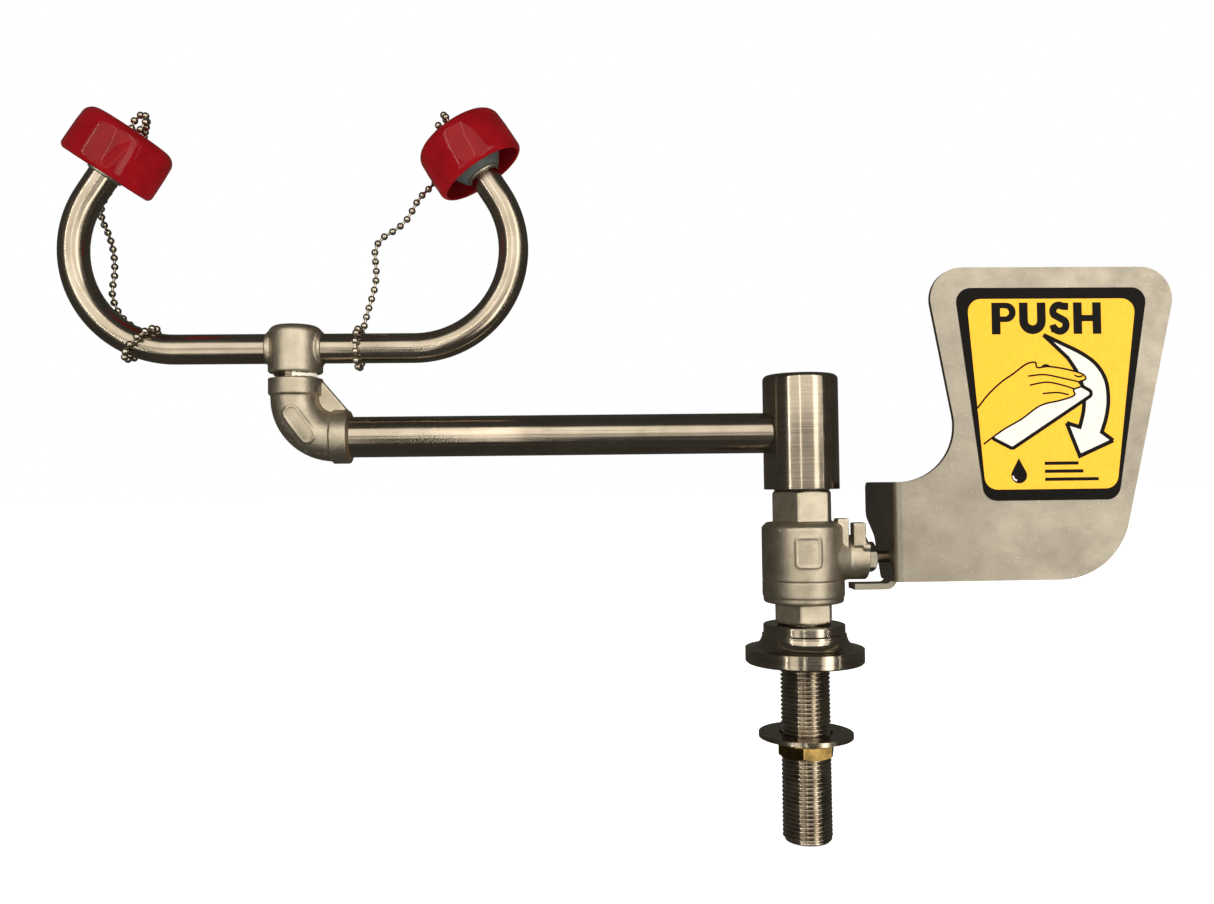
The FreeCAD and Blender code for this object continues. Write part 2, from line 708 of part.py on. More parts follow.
def push_paddle():
    """One bent sheet: a leg across the stem, a stop tab bent back from its foot, and the push plate."""
    body = doc.addObject("PartDesign::Body", "paddle_sheet")
    bend_line = s.leg_place + s.bend_radius
    add_pad(body, "paddle_plate", "XZ_Plane", [
        (bend_line, s.paddle_bottom), (s.paddle_low_right, s.paddle_bottom, s.palm_radius),
        (s.paddle_right, s.paddle_top, s.corner_radius), (s.paddle_left, s.paddle_top, s.corner_radius),
        (s.paddle_waist, s.leg_top, s.waist_radius), (bend_line, s.leg_top)], plate_back, s.sheet)
    add_pad(body, "paddle_bend", "XY_Plane", [
        (s.leg_place, -s.plate_front, s.bend_radius), (bend_line + 2, -s.plate_front),
        (bend_line + 2, -plate_back), (sheet_back, -plate_back, s.bend_radius - s.sheet),
        (sheet_back, -s.tab_front), (s.leg_place, -s.tab_front)],
        s.paddle_bottom, s.leg_top - s.paddle_bottom)
    add_pad(body, "paddle_leg", "YZ_Plane", [
        (-s.leg_front, s.paddle_bottom), (s.leg_foot, s.paddle_bottom, 3),
        (s.leg_curve, s.stem_height + 8, 8), (s.leg_back, s.stem_height + 16.5, 5),
        (s.leg_back, s.leg_top, 3), (-s.leg_front, s.leg_top)],
        s.leg_place, s.sheet)
    tab_top = s.tab_bottom + s.sheet
    add_pad(body, "paddle_tab", "XZ_Plane", [
        (sheet_back, s.tab_bottom, s.sheet + 2), (sheet_back, s.paddle_bottom + 3),
        (s.leg_place, s.paddle_bottom + 3), (s.leg_place, tab_top, 2), (s.tab_reach, tab_top),
        (s.tab_reach, s.tab_bottom)], -s.tab_front, s.tab_width)
    clear = s.thread_clear
    round_hole = cylinder("paddle_hole_round", s.stem_thread + clear, 10,
                          (s.leg_place - 4, 0, s.stem_height), "X")
    flat_hole = box("paddle_hole_flats", (10, 12, s.stem_flats + clear * 2),
                    (s.leg_place - 4, -6, s.stem_height - s.stem_flats / 2 - clear))
    return cut("push_paddle", body, [overlap("paddle_hole", [round_hole, flat_hole])])


def push_label():
    body = doc.addObject("PartDesign::Body", "push_label")
    add_pad(body, "label_sheet", "XZ_Plane", [
        (s.label_low_left, s.label_bottom, s.label_corner),
        (s.label_low_right, s.label_bottom, s.label_corner),
        (s.label_right, s.label_top, s.label_corner), (s.label_left, s.label_top, s.label_corner)],
        s.plate_front, s.label_thick)
    return body


def handle_lock_washer():
    return ring("handle_lock_washer", s.stem_thread + s.thread_clear, 5.4,
                washer_face, nut_face - s.thread_clear, (0, 0, s.stem_height), ALONG["X"])


def handle_nut():
    flats = hexagon("handle_nut_flats", s.handle_nut_flats, s.handle_nut_thick,
                    (nut_face, 0, s.stem_height), "X")
    hole = cylinder("handle_nut_hole", s.stem_thread + s.thread_clear, s.handle_nut_thick + 2,
                    (nut_face - 1, 0, s.stem_height), "X")
    return cut("handle_nut", flats, [hole])


# ---------------------------------------------------------------- arm

def swivel_barrel():
    bore = s.spindle_radius + s.running_clear
    shoulder = s.clip_place - 0.4
    outside = turned("barrel_outside", [
        (0, barrel_low), (s.barrel_radius, barrel_low, 0.4), (s.barrel_radius, barrel_top, 2.2),
        (0, barrel_top)])
    inside = turned("barrel_inside", [
        (0, barrel_low - 1), (bore, barrel_low - 1), (bore, s.arm_height - s.water_half),
        (chamber_radius, s.arm_height - s.water_half + 1), (chamber_radius, s.arm_height + s.water_half - 1),
        (bore, s.arm_height + s.water_half), (bore, shoulder), (chamber_radius, shoulder),
        (chamber_radius, barrel_top - s.barrel_top_wall), (0, barrel_top - s.barrel_top_wall)])
    arm_way = cylinder("barrel_arm_way", s.arm_radius + s.weld_clear, s.barrel_radius - chamber_radius + 4,
                       (1 - chamber_radius, 0, s.arm_height), "-X")
    return cut("swivel_barrel", outside, [inside, arm_way])


def arm_tube():
    end = s.barrel_radius - 3.6
    length = s.reach - s.elbow_run + s.elbow_band - end
    outside = cylinder("arm_outside", s.arm_radius, length, (-end, 0, s.arm_height), "-X")
    inside = cylinder("arm_inside", s.arm_bore, length + 2, (1 - end, 0, s.arm_height), "-X")
    return cut("arm_tube", outside, [inside])


def elbow():
    """Cast elbow: a quarter bend between two banded ends, with a web across its inside corner."""
    x, z = -s.reach, s.arm_height
    corner = (x + s.elbow_bend, 0, z + s.elbow_bend)
    quarter = FreeCAD.Rotation(-X, -Z, -Y, "ZXY")
    bend = torus("elbow_bend_outside", s.elbow_bend, s.elbow_radius, 90, corner, quarter)
    way = torus("elbow_bend_inside", s.elbow_bend, s.elbow_bore, 90, corner, quarter)
    band_z = z + s.elbow_rise - s.elbow_band
    band_x = x + s.elbow_run - s.elbow_band
    riser = cylinder("elbow_riser", s.elbow_radius, s.elbow_rise - s.elbow_bend, (x, 0, z + s.elbow_bend))
    runner = cylinder("elbow_runner", s.elbow_radius, s.elbow_run - s.elbow_bend,
                      (x + s.elbow_bend, 0, z), "X")
    top_band = cylinder("elbow_top_band", s.band_radius, s.elbow_band, (x, 0, band_z))
    side_band = cylinder("elbow_side_band", s.band_radius, s.elbow_band, (band_x, 0, z), "X")
    web = doc.addObject("PartDesign::Body", "elbow_web")
    add_pad(web, "elbow_web_sheet", "XZ_Plane", [
        (x + 4, z + 4), (x + s.elbow_run - 0.6, z + 4), (x + s.elbow_run - 0.6, z + s.band_radius - 0.3),
        (x + s.band_radius - 0.3, z + s.elbow_rise - 0.6), (x + 4, z + s.elbow_rise - 0.6)],
        -s.web_thick / 2, s.web_thick)
    top_socket = cylinder("elbow_top_socket", s.nipple_radius + s.thread_clear, s.elbow_band + 1,
                          (x, 0, band_z))
    side_socket = cylinder("elbow_side_socket", s.arm_radius + s.weld_clear, s.elbow_band + 1,
                           (band_x, 0, z), "X")
    riser_way = cylinder("elbow_riser_way", s.elbow_bore, s.elbow_rise - s.elbow_bend,
                         (x, 0, z + s.elbow_bend))
    runner_way = cylinder("elbow_runner_way", s.elbow_bore, s.elbow_run - s.elbow_bend,
                          (x + s.elbow_bend, 0, z), "X")
    outside = join("elbow_outside", [bend, riser, runner, top_band, side_band, web])
    return cut("elbow", outside, [way, riser_way, runner_way, top_socket, side_socket])


def elbow_nipple():
    low = elbow_top - s.elbow_band + s.end_gap
    high = tee_socket_top - s.end_gap
    return ring("elbow_nipple", s.elbow_bore, s.nipple_radius, low, high, (-s.reach, 0, 0))


def yoke_tee():
    chamber = s.tube_socket - 0.6
    outside = turned("tee_outside", [
        (0, tee_low), (s.tee_radius, tee_low, 0.8), (s.tee_radius, tee_top, s.tee_crown), (0, tee_top)])
    inside = turned("tee_inside", [
        (0, tee_low - 1), (s.nipple_radius + s.thread_clear, tee_low - 1),
        (s.nipple_radius + s.thread_clear, tee_socket_top), (chamber, tee_socket_top),
        (chamber, tee_top - 2.5), (0, tee_top - 2.5)])
    across = cylinder("tee_across", s.yoke_radius + s.weld_clear, s.tee_radius * 2 + 4,
                      (-s.tee_radius - 2, 0, s.yoke_height), "X")
    blank = cut("tee_blank", outside, [inside, across])
    tee = doc.addObject("Part::Compound", "yoke_tee")
    tee.Links = [blank]
    return place(tee, (-s.reach, 0, 0))


def head_frame(side, along=0, out=0):
    """A place on a spray head's axis: along it from the bend's end, and out from it in the yoke's plane."""
    x = s.yoke_half + (s.yoke_bend + out) * cosine(s.head_tilt) - along * sine(s.head_tilt)
    z = s.yoke_height + s.yoke_bend + s.yoke_bend * sine(s.head_tilt) + along * cosine(s.head_tilt)
    return (-s.reach + side * x, 0, z + out * sine(s.head_tilt))


def head_rotation(side):
    return FreeCAD.Rotation(Y, -side * SIZES["head_tilt"])


def bent_tube(name, radius, side, extra):
    """One half of the yoke: a straight run, the bend and a short straight tail."""
    start = -s.reach + side * (s.tube_socket - extra)
    along = "X" if side > 0 else "-X"
    length = s.yoke_half - s.tube_socket + extra
    run = cylinder(name + "_run", radius, length, (start, 0, s.yoke_height), along)
    turn = FreeCAD.Rotation(-Z, X * side, -Y * side, "ZXY")
    bend = torus(name + "_bend", s.yoke_bend, radius, s.head_tilt + 90,
                 (-s.reach + side * s.yoke_half, 0, s.yoke_height + s.yoke_bend), turn)
    tail = doc.addObject("Part::Cylinder", name + "_tail")
    bind(tail, Radius=radius, Height=s.cup_start + s.tube_hold + extra)
    place(tail, head_frame(side), head_rotation(side))
    return join(name + "_whole", [run, bend, tail])


def yoke_tube(hand, side):
    name = hand + "_yoke_tube"
    return cut(name, bent_tube(name + "_outside", s.yoke_radius, side, 0),
               [bent_tube(name + "_inside", s.yoke_bore, side, 0.5)])


def spray_cup(hand, side):
    wall = s.cup_wall
    neck = s.yoke_radius + s.weld_clear
    flare = s.cup_start + s.cup_rise
    return turned(hand + "_spray_cup", [
        (neck, s.cup_start), (s.yoke_radius + 2, s.cup_start, 0.8), (s.cup_throat, s.cup_start + 4.5, 3),
        (s.cup_radius, flare, 3), (s.cup_radius, s.cup_top), (s.cup_radius - wall, s.cup_top),
        (s.cup_radius - wall, flare + 0.8, 2), (s.cup_throat - wall, s.cup_start + 5.6, 2),
        (neck, s.cup_start + 2.4)], head_frame(side), head_rotation(side))


def filter_screen(hand, side):
    top = plate_top - s.plate_thick - s.screen_gap
    outer = s.cup_radius - s.cup_wall - s.weld_clear
    return ring(hand + "_filter_screen", 1.0, outer, top - s.screen_thick, top,
                head_frame(side), head_rotation(side))


def spray_plate(hand, side):
    """Disc with a ring of jets and one in the middle."""
    radius = s.cup_radius - s.cup_wall - s.weld_clear
    low = plate_top - s.plate_thick
    body = doc.addObject("PartDesign::Body", hand + "_spray_plate")
    add_pad(body, hand + "_plate_disc", "XY_Plane", [
        (radius, radius, radius - 0.01), (-radius, radius, radius - 0.01),
        (-radius, -radius, radius - 0.01), (radius, -radius, radius - 0.01)], low, s.plate_thick)
    for label, offset, count in (("inner", s.jet_ring / 2, 6), ("outer", s.jet_ring, 12)):
        sketch = new_sketch(body, "%s_%s_jet" % (hand, label), "XY_Plane", plate_top)
        jet = sketch.addGeometry(Part.Circle(Vector(offset.value, 0, 0), Z, s.jet_radius.value), False)
        for kind, point, value in (("DistanceX", 3, offset), ("DistanceY", 3, as_size(0))):
            number = sketch.addConstraint(Sketcher.Constraint(kind, jet, point, value.value))
            sketch.setExpression("Constraints[%d]" % number, value.text)
        number = sketch.addConstraint(Sketcher.Constraint("Radius", jet, s.jet_radius.value))
        sketch.setExpression("Constraints[%d]" % number, s.jet_radius.text)
        pocket = body.newObject("PartDesign::Pocket", "%s_%s_hole" % (hand, label))
        pocket.Profile = sketch
        bind(pocket, Length=s.plate_thick + 0.5)
        pattern = body.newObject("PartDesign::PolarPattern", "%s_%s_ring" % (hand, label))
        pattern.Originals = [pocket]
        pattern.Axis = (sketch, ["N_Axis"])
        pattern.Angle = 360
        pattern.Occurrences = count
        body.Tip = pattern
    return place(body, head_frame(side), head_rotation(side))


# ---------------------------------------------------------------- dust caps

def dust_cap(hand, side):
    """Soft cap over the spray cup, with two small holes in its crown for the chain's ring."""
    inner = cap_radius - s.cap_wall
    shell = turned(hand + "_cap_shell", [
        (inner, s.cap_start), (cap_radius, s.cap_start, 0.6), (cap_radius - 0.5, cap_top, s.cap_crown),
        (0, cap_top), (0, cap_top - s.cap_wall),
        (inner - 0.5, cap_top - s.cap_wall, s.cap_crown - s.cap_wall)],
        head_frame(side), head_rotation(side))
    return cut(hand + "_dust_cap", shell, [cap_ring_torus(hand + "_cap_ring_way", side, 0.2)])


LEFT_CAP_RING_TURN = 55  # the right cap's ring stands edge on to the user, the left one is turned


def cap_ring_torus(name, side, extra):
    """The ring of chain balls that passes through the cap's crown; it stands turned about the cap's axis."""
    turn = 0 if side > 0 else LEFT_CAP_RING_TURN
    rotation = head_rotation(side) * FreeCAD.Rotation(Z, turn) * FreeCAD.Rotation(Y, 90)
    return torus(name, s.cap_ring_radius, s.chain_radius + extra, 360,
                 head_frame(side, cap_top + s.cap_ring_rise), rotation)


# ---------------------------------------------------------------- ball chains

LEFT_RING_TURN = 132.6  # the left ring's axis, turned from +Z about +Y


def tube_ring(hand, side):
    """The ring of chain balls round the yoke tube; the left one lies askew where the bend begins."""
    snug = s.yoke_radius + s.chain_radius
    if side > 0:
        return torus("right_tube_ring", snug + s.right_ring_slack, s.chain_radius, 360,
                     (s.right_ring_place - s.reach, 0, s.yoke_height), ALONG["X"])
    return torus("left_tube_ring", snug + s.left_ring_slack, s.chain_radius, 360,
                 (-s.left_ring_place - s.reach, 0, s.yoke_height + s.left_ring_rise),
                 FreeCAD.Rotation(Y, LEFT_RING_TURN))


def on_cap(side, bearing, radius, height):
    """A chain point near a cap: its bearing about the cap's axis, radius and height over the crown."""
    turn = math.radians(bearing)
    out = radius * math.cos(turn)
    x, _, z = head_frame(side, cap_top + height, as_size(out))
    return Vector(x.value, radius * math.sin(turn), z.value)


SPLIT_RUN = 3  # the run down the cap's side, parallel to its axis or leaving it


def chain_points(side):
    """The chain's route, from the cap's ring over the crown's rear edge and down to the tube's ring."""
    bearing = 150 if side > 0 else 90
    crown = [on_cap(side, bearing, radius, height)
             for radius, height in ((4.6, 6.6), (12.4, 2.7), (20.6, 2.3), (22.9, -6.2))]
    right = [(-163.9, 13.0, 202.5), (-169.2, 14.0, 191.0), (-183.9, 12.8, 182.6), (-181.0, 11.6, 167.0),
             (-186.0, 9.8, 150.0), (-187.1, 6.8, 141.6)]
    left = [(-290.4, 22.6, 209.6), (-299.0, 19.4, 197.6), (-296.4, 16.0, 184.5), (-293.8, 13.4, 169.5),
            (-295.4, 11.8, 160.2), (-290.2, 10.2, 149.6), (-281.0, 9.6, 143.4), (-275.6, 8.4, 140.8)]
    return crown + [Vector(*point) for point in (right if side > 0 else left)]


def chain_edges(points, split_run):
    """Straight runs joined by tangent arcs, as two lists of edges that part halfway along one run."""
    cuts = []
    for i in range(1, len(points) - 1):
        back = points[i - 1] - points[i]
        ahead = points[i + 1] - points[i]
        half_turn = (math.pi - back.getAngle(ahead)) / 2
        setback = 0.45 * min(back.Length, ahead.Length)
        radius = setback / math.tan(half_turn)
        start = points[i] + Vector(back).normalize() * setback
        end = points[i] + Vector(ahead).normalize() * setback
        inwards = (Vector(back).normalize() + Vector(ahead).normalize()).normalize()
        middle = points[i] + inwards * (radius / math.cos(half_turn) - radius)
        cuts.append((start, middle, end, radius))
    upper, lower, here = [], [], points[0]
    for run in range(len(points) - 1):
        there = cuts[run][0] if run < len(cuts) else points[-1]
        if run == split_run:
            parting_point = (here + there) * 0.5
            upper.append(Part.LineSegment(here, parting_point).toShape())
            lower.append(Part.LineSegment(parting_point, there).toShape())
        else:
            (upper if run < split_run else lower).append(Part.LineSegment(here, there).toShape())
        if run < len(cuts):
            start, middle, end, radius = cuts[run]
            (upper if run < split_run else lower).append(Part.Arc(start, middle, end).toShape())
            here = end
    print("chain radii", ["%.1f" % item[3] for item in cuts])
    return upper, lower


def chain_tube(name, edges):
    """A plain tube along the edges, as thick as the chain's balls."""
    path = Part.Wire(edges)
    start = edges[0].Vertexes[0].Point
    ahead = edges[0].Vertexes[1].Point - start
    section = Part.Wire([Part.Circle(start, ahead, s.chain_radius.value).toShape()])
    tube = path.makePipeShell([section], True, True)
    expected = path.Length * math.pi * s.chain_radius.value ** 2
    print(name, "length %.1f, volume over section times length %.4f" % (path.Length, tube.Volume / expected))
    item = doc.addObject("Part::Feature", name)
    item.Shape = tube
    return item


def chain_pieces(hand, side):
    upper, lower = chain_edges(chain_points(side), SPLIT_RUN)
    return [chain_tube(hand + "_chain_upper", upper), chain_tube(hand + "_chain_lower", lower)]


# ---------------------------------------------------------------- assembly

def build():
    nodes = [mounting_shank(), deck_flange(), backing_washer(), back_nut(), valve_end_piece(), body_seal(),
             valve_body(), seat_ring("upper_seat_ring", 1), seat_ring("lower_seat_ring", -1), stem_packing(),
             gland_nut(), swivel_spindle(), swivel_o_rings(), swivel_clip(), swivel_washer(),
             valve_ball(), valve_stem(), stem_thrust_washer(), push_paddle(), push_label(),
             handle_lock_washer(), handle_nut(),
             swivel_barrel(), arm_tube(), elbow(), elbow_nipple(), yoke_tee()]
    for hand, side in (("left", -1), ("right", 1)):
        nodes += [yoke_tube(hand, side), spray_cup(hand, side), filter_screen(hand, side),
                  spray_plate(hand, side), dust_cap(hand, side), tube_ring(hand, side),
                  cap_ring_torus(hand + "_cap_ring", side, 0)]
        nodes += chain_pieces(hand, side)
    doc.recompute()
    return nodes


def check(nodes):
    for item in doc.Objects:
        faults = [state for state in item.State if state in ("Invalid", "Error")]
        if faults:
            raise RuntimeError("%s failed: %s" % (item.Label, faults))
    for item in nodes:
        if item.Shape.isNull() or not item.Shape.isValid() or not item.Shape.Solids:
            raise RuntimeError("%s has no valid solid" % item.Label)


def export(nodes):
    os.makedirs("parts", exist_ok=True)
    for item in nodes:
        item.Shape.exportStep("parts/%s.step" % item.Label)
        print("%-22s solids %d  volume %9.1f" % (item.Label, len(item.Shape.Solids), item.Shape.Volume))


all_nodes = build()
check(all_nodes)
export(all_nodes)
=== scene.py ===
"""Looks of the bench-mounted swivel-arm eyewash.  Metres, +Z up; the user stands at -Y.

Numbers that end in _MM, and every outline or profile, are in millimetres and are scaled where they are used.
"""
import json
import math
import random

import bpy
from mathutils import Matrix, Vector

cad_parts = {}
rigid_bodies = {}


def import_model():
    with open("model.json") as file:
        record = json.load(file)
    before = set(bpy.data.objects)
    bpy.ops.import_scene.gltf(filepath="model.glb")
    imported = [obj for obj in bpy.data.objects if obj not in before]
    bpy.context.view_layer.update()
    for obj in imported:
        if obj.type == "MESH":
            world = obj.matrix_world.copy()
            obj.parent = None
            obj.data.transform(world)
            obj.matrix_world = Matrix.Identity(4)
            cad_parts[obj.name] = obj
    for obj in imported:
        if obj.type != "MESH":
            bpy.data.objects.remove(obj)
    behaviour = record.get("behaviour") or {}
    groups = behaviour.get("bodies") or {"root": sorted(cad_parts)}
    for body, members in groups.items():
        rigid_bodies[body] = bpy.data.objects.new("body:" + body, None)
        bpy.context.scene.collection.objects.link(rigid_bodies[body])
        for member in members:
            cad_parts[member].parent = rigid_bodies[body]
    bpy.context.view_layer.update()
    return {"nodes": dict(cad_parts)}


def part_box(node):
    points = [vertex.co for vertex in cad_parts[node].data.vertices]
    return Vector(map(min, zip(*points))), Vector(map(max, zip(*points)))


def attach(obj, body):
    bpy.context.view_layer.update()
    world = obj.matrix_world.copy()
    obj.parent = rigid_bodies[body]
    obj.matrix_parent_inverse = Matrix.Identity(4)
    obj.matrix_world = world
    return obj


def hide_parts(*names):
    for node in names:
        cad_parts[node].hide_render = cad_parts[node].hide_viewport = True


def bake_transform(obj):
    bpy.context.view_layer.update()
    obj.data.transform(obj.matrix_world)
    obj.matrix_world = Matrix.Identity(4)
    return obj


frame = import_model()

MM = 0.001
UP = Vector((0, 0, 1))


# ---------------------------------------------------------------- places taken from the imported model

def middle(node):
    """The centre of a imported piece's box."""
    low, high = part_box(node)
    return (low + high) / 2


TEE_X = middle("yoke_tee").x
TEE_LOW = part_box("yoke_tee")[0].z
BAR_Z = middle("right_tube_ring").z
ELBOW_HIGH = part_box("elbow")[1]
ARM_Z = middle("arm_tube").z
SHANK_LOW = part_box("mounting_shank")[0]
LABEL_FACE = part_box("push_label")[0].y
# The yoke: how far each head leans in, half its straight bar, and its bends' radius.
HEAD_TILT = math.radians(33.1)
YOKE_HALF_MM, YOKE_BEND_MM = 49.7, 42.1


# ---------------------------------------------------------------- working with one piece at a time

def pick(*pieces):
    """Select these pieces and nothing else, and make the first one active."""
    if bpy.context.object and bpy.context.object.mode != "OBJECT":
        bpy.ops.object.mode_set(mode="OBJECT")
    for item in bpy.context.view_layer.objects:
        item.select_set(False)
    for item in pieces:
        item.select_set(True)
    if pieces:
        bpy.context.view_layer.objects.active = pieces[0]


def fresh(name):
    """The primitive that was just added, under its own name."""
    piece = bpy.context.object
    piece.name = piece.data.name = name
    return piece


def edit(piece, everything=True):
    """Edit mode on one piece, with all of it selected or none."""
    pick(piece)
    bpy.ops.object.mode_set(mode="EDIT")
    bpy.ops.mesh.select_all(action="SELECT" if everything else "DESELECT")


def tidy(piece, merge=1e-6, outwards=True):
    """Merge what coincides and turn the faces outwards."""
    edit(piece)
    bpy.ops.mesh.remove_doubles(threshold=merge)
    if outwards:
        bpy.ops.mesh.normals_make_consistent(inside=False)
    bpy.ops.object.mode_set(mode="OBJECT")
    return piece


def settle(piece):
    """Move the piece's place, turn and scale into its mesh."""
    pick(piece)
    bpy.ops.object.transform_apply(location=True, rotation=True, scale=True)
    return piece


def soften(piece, degrees=35):
    """Smooth shading, with edges sharper than this left crisp."""
    pick(piece)
    bpy.ops.object.shade_smooth_by_angle(angle=math.radians(degrees))
    return piece


def finish_with(piece, kind, **settings):
    """Add one modifier with its settings and apply it."""
    pick(piece)
    modifier = piece.modifiers.new(kind.title(), kind)
    for name, value in settings.items():
        setattr(modifier, name, value)
    bpy.ops.object.modifier_apply(modifier=modifier.name)
    return piece


def joined(name, pieces):
    """Several pieces made one, under this name."""
    pick(*pieces)
    if len(pieces) > 1:
        bpy.ops.object.join()
    return fresh(name)


def fit_out(piece, body, slot, material, *replaced):
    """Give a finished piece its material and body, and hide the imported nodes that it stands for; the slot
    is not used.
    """
    if material is not None:
        piece.data.materials.clear()
        piece.data.materials.append(material)
    if replaced:
        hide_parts(*replaced)
    if body is not None:
        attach(piece, body)
    return piece


def turned(name, profile, steps=64):
    """A turned piece: a half outline of (radius, height) in mm, drawn point by point and spun about Z."""
    pick()
    bpy.ops.mesh.primitive_plane_add(size=MM)
    piece = fresh(name)
    edit(piece)
    bpy.ops.mesh.merge(type="CENTER")
    spots = [Vector((radius, 0, height)) * MM for radius, height in profile]
    bpy.ops.transform.translate(value=spots[0])
    for here, there in zip(spots, spots[1:]):
        bpy.ops.mesh.extrude_region_move(TRANSFORM_OT_translate={"value": there - here})
    bpy.ops.mesh.select_all(action="SELECT")
    bpy.ops.mesh.spin(steps=steps, angle=math.tau, center=(0, 0, 0), axis=(0, 0, 1))
    return tidy(piece)


def arc(centre, radius, start, end, count):
    """Points of an arc in a flat outline, in mm, from one bearing to another in degrees."""
    bearings = [math.radians(start + (end - start) * i / count) for i in range(count + 1)]
    return [(centre[0] + radius * math.cos(b), centre[1] + radius * math.sin(b)) for b in bearings]


CORNER_STEPS = 6


def rounded(corners, radius):
    """A closed outline with each corner rounded by the same radius, in mm."""
    outline = []
    for i, corner in enumerate(corners):
        here = Vector(corner)
        back = (Vector(corners[i - 1]) - here).normalized()
        ahead = (Vector(corners[(i + 1) % len(corners)]) - here).normalized()
        half = back.angle(ahead) / 2
        centre = here + (back + ahead).normalized() * radius / math.sin(half)
        first = here + back * radius / math.tan(half) - centre
        last = here + ahead * radius / math.tan(half) - centre
        turn = first.angle_signed(last)
        for step in range(CORNER_STEPS + 1):
            spot = centre + Matrix.Rotation(-turn * step / CORNER_STEPS, 2) @ first
            outline.append((spot.x, spot.y))
    return outline


def wire(name, spots, radius):
    """A closed round bead that follows points in space: a curve with a bevel, made a mesh."""
    curve = bpy.data.curves.new(name, "CURVE")
    curve.dimensions = "3D"
    curve.bevel_depth = radius
    curve.bevel_resolution = 4
    spline = curve.splines.new("POLY")
    spline.points.add(len(spots) - 1)
    for point, spot in zip(spline.points, spots):
        point.co = (*spot, 1)
    spline.use_cyclic_u = True
    piece = bpy.data.objects.new(name, curve)
    bpy.context.scene.collection.objects.link(piece)
    pick(piece)
    bpy.ops.object.convert(target="MESH")
    return soften(tidy(fresh(name)), 60)


# ---------------------------------------------------------------- materials

def colour(code):
    """An sRGB hex value as the linear colour that the shader works in."""
    channels = [int(code[i:i + 2], 16) / 255 for i in (1, 3, 5)]
    linear = [c / 12.92 if c <= 0.04045 else ((c + 0.055) / 1.055) ** 2.4 for c in channels]
    return (*linear, 1)


def new_material(name, base, metallic, roughness, **shader):
    """A material with its starting values; what is the same all over stays on the shader's own sockets."""
    material = bpy.data.materials.new(name)
    material.use_nodes = True
    surface = material.node_tree.nodes["Principled BSDF"]
    surface.inputs["Base Color"].default_value = colour(base)
    surface.inputs["Metallic"].default_value = metallic
    surface.inputs["Roughness"].default_value = roughness
    for label, value in shader.items():
        surface.inputs[label.replace("_", " ")].default_value = value
    return material


def add_node(material, kind, settings=(), inputs=()):
    """One node, with its settings, and its inputs set to a value or linked to another node's output."""
    tree = material.node_tree
    node = tree.nodes.new(kind)
    for name, value in dict(settings).items():
        setattr(node, name, value)
    for name, value in dict(inputs).items():
        if isinstance(value, bpy.types.NodeSocket):
            tree.links.new(value, node.inputs[name])
        else:
            node.inputs[name].default_value = value
    return node


def feed(material, label, output):
    """Link an output to one of the shader's sockets."""
    surface = material.node_tree.nodes["Principled BSDF"]
    material.node_tree.links.new(output, surface.inputs[label])


def pattern(material, sizes_mm, detail=2.0):
    """Noise in the piece's own coordinates, with marks of about this size in mm along X, Y and Z."""
    where = add_node(material, "ShaderNodeTexCoord")
    scale = [1 / (size * MM) for size in sizes_mm]
    mapped = add_node(material, "ShaderNodeMapping", {}, {
        "Vector": where.outputs["Object"], "Scale": scale})
    noise = add_node(material, "ShaderNodeTexNoise", {}, {
        "Vector": mapped.outputs["Vector"], "Scale": 1.0, "Detail": detail, "Roughness": 0.55})
    return noise.outputs["Fac"]


def ramp(material, value, stops):
    """A value turned into colours: (place, hex) stops."""
    node = add_node(material, "ShaderNodeValToRGB", {}, {"Fac": value})
    elements = node.color_ramp.elements
    while len(elements) < len(stops):
        elements.new(0.5)
    for element, (place, code) in zip(elements, stops):
        element.position = place
        element.color = colour(code)
    return node.outputs["Color"]


def spread(material, value, low, high, start=0.3, end=0.7):
    """A noise value stretched to the range low to high."""
    node = add_node(material, "ShaderNodeMapRange", {}, {
        "Value": value, "From Min": start, "From Max": end, "To Min": low, "To Max": high})
    return node.outputs["Result"]


def blend_colours(material, share, first, second, mode="MIX"):
    """Two colours mixed, or one laid over the other."""
    node = add_node(material, "ShaderNodeMixRGB", {"blend_type": mode}, {
        "Fac": share, "Color1": first, "Color2": second})
    return node.outputs["Color"]


def raise_surface(material, value, depth_mm, strength=1.0, under=None):
    """Bump of this depth from a value, over an earlier bump if there is one."""
    inputs = {"Height": value, "Distance": depth_mm * MM, "Strength": strength}
    if under is not None:
        inputs["Normal"] = under
    node = add_node(material, "ShaderNodeBump", {}, inputs)
    return node.outputs["Normal"]


def brushed_stainless(name, grain_mm, roughness):
    """Stainless steel, linished or turned: fine parallel lines stretch each highlight into a soft band."""
    material = new_material(name, "#c4bbab", 1.0, 0.2)
    lines = pattern(material, grain_mm, detail=3.0)
    clouds = pattern(material, (14, 14, 14), detail=3.0)
    tone = ramp(material, clouds, ((0.25, "#a99e8d"), (0.75, "#c2b8a8")))
    streaks = ramp(material, lines, ((0.35, "#a59b8b"), (0.65, "#ffffff")))
    feed(material, "Base Color", blend_colours(material, 0.35, tone, streaks, "MULTIPLY"))
    feed(material, "Roughness", spread(material, lines, *roughness))
    feed(material, "Normal", raise_surface(material, lines, 0.004, 0.3))
    return material


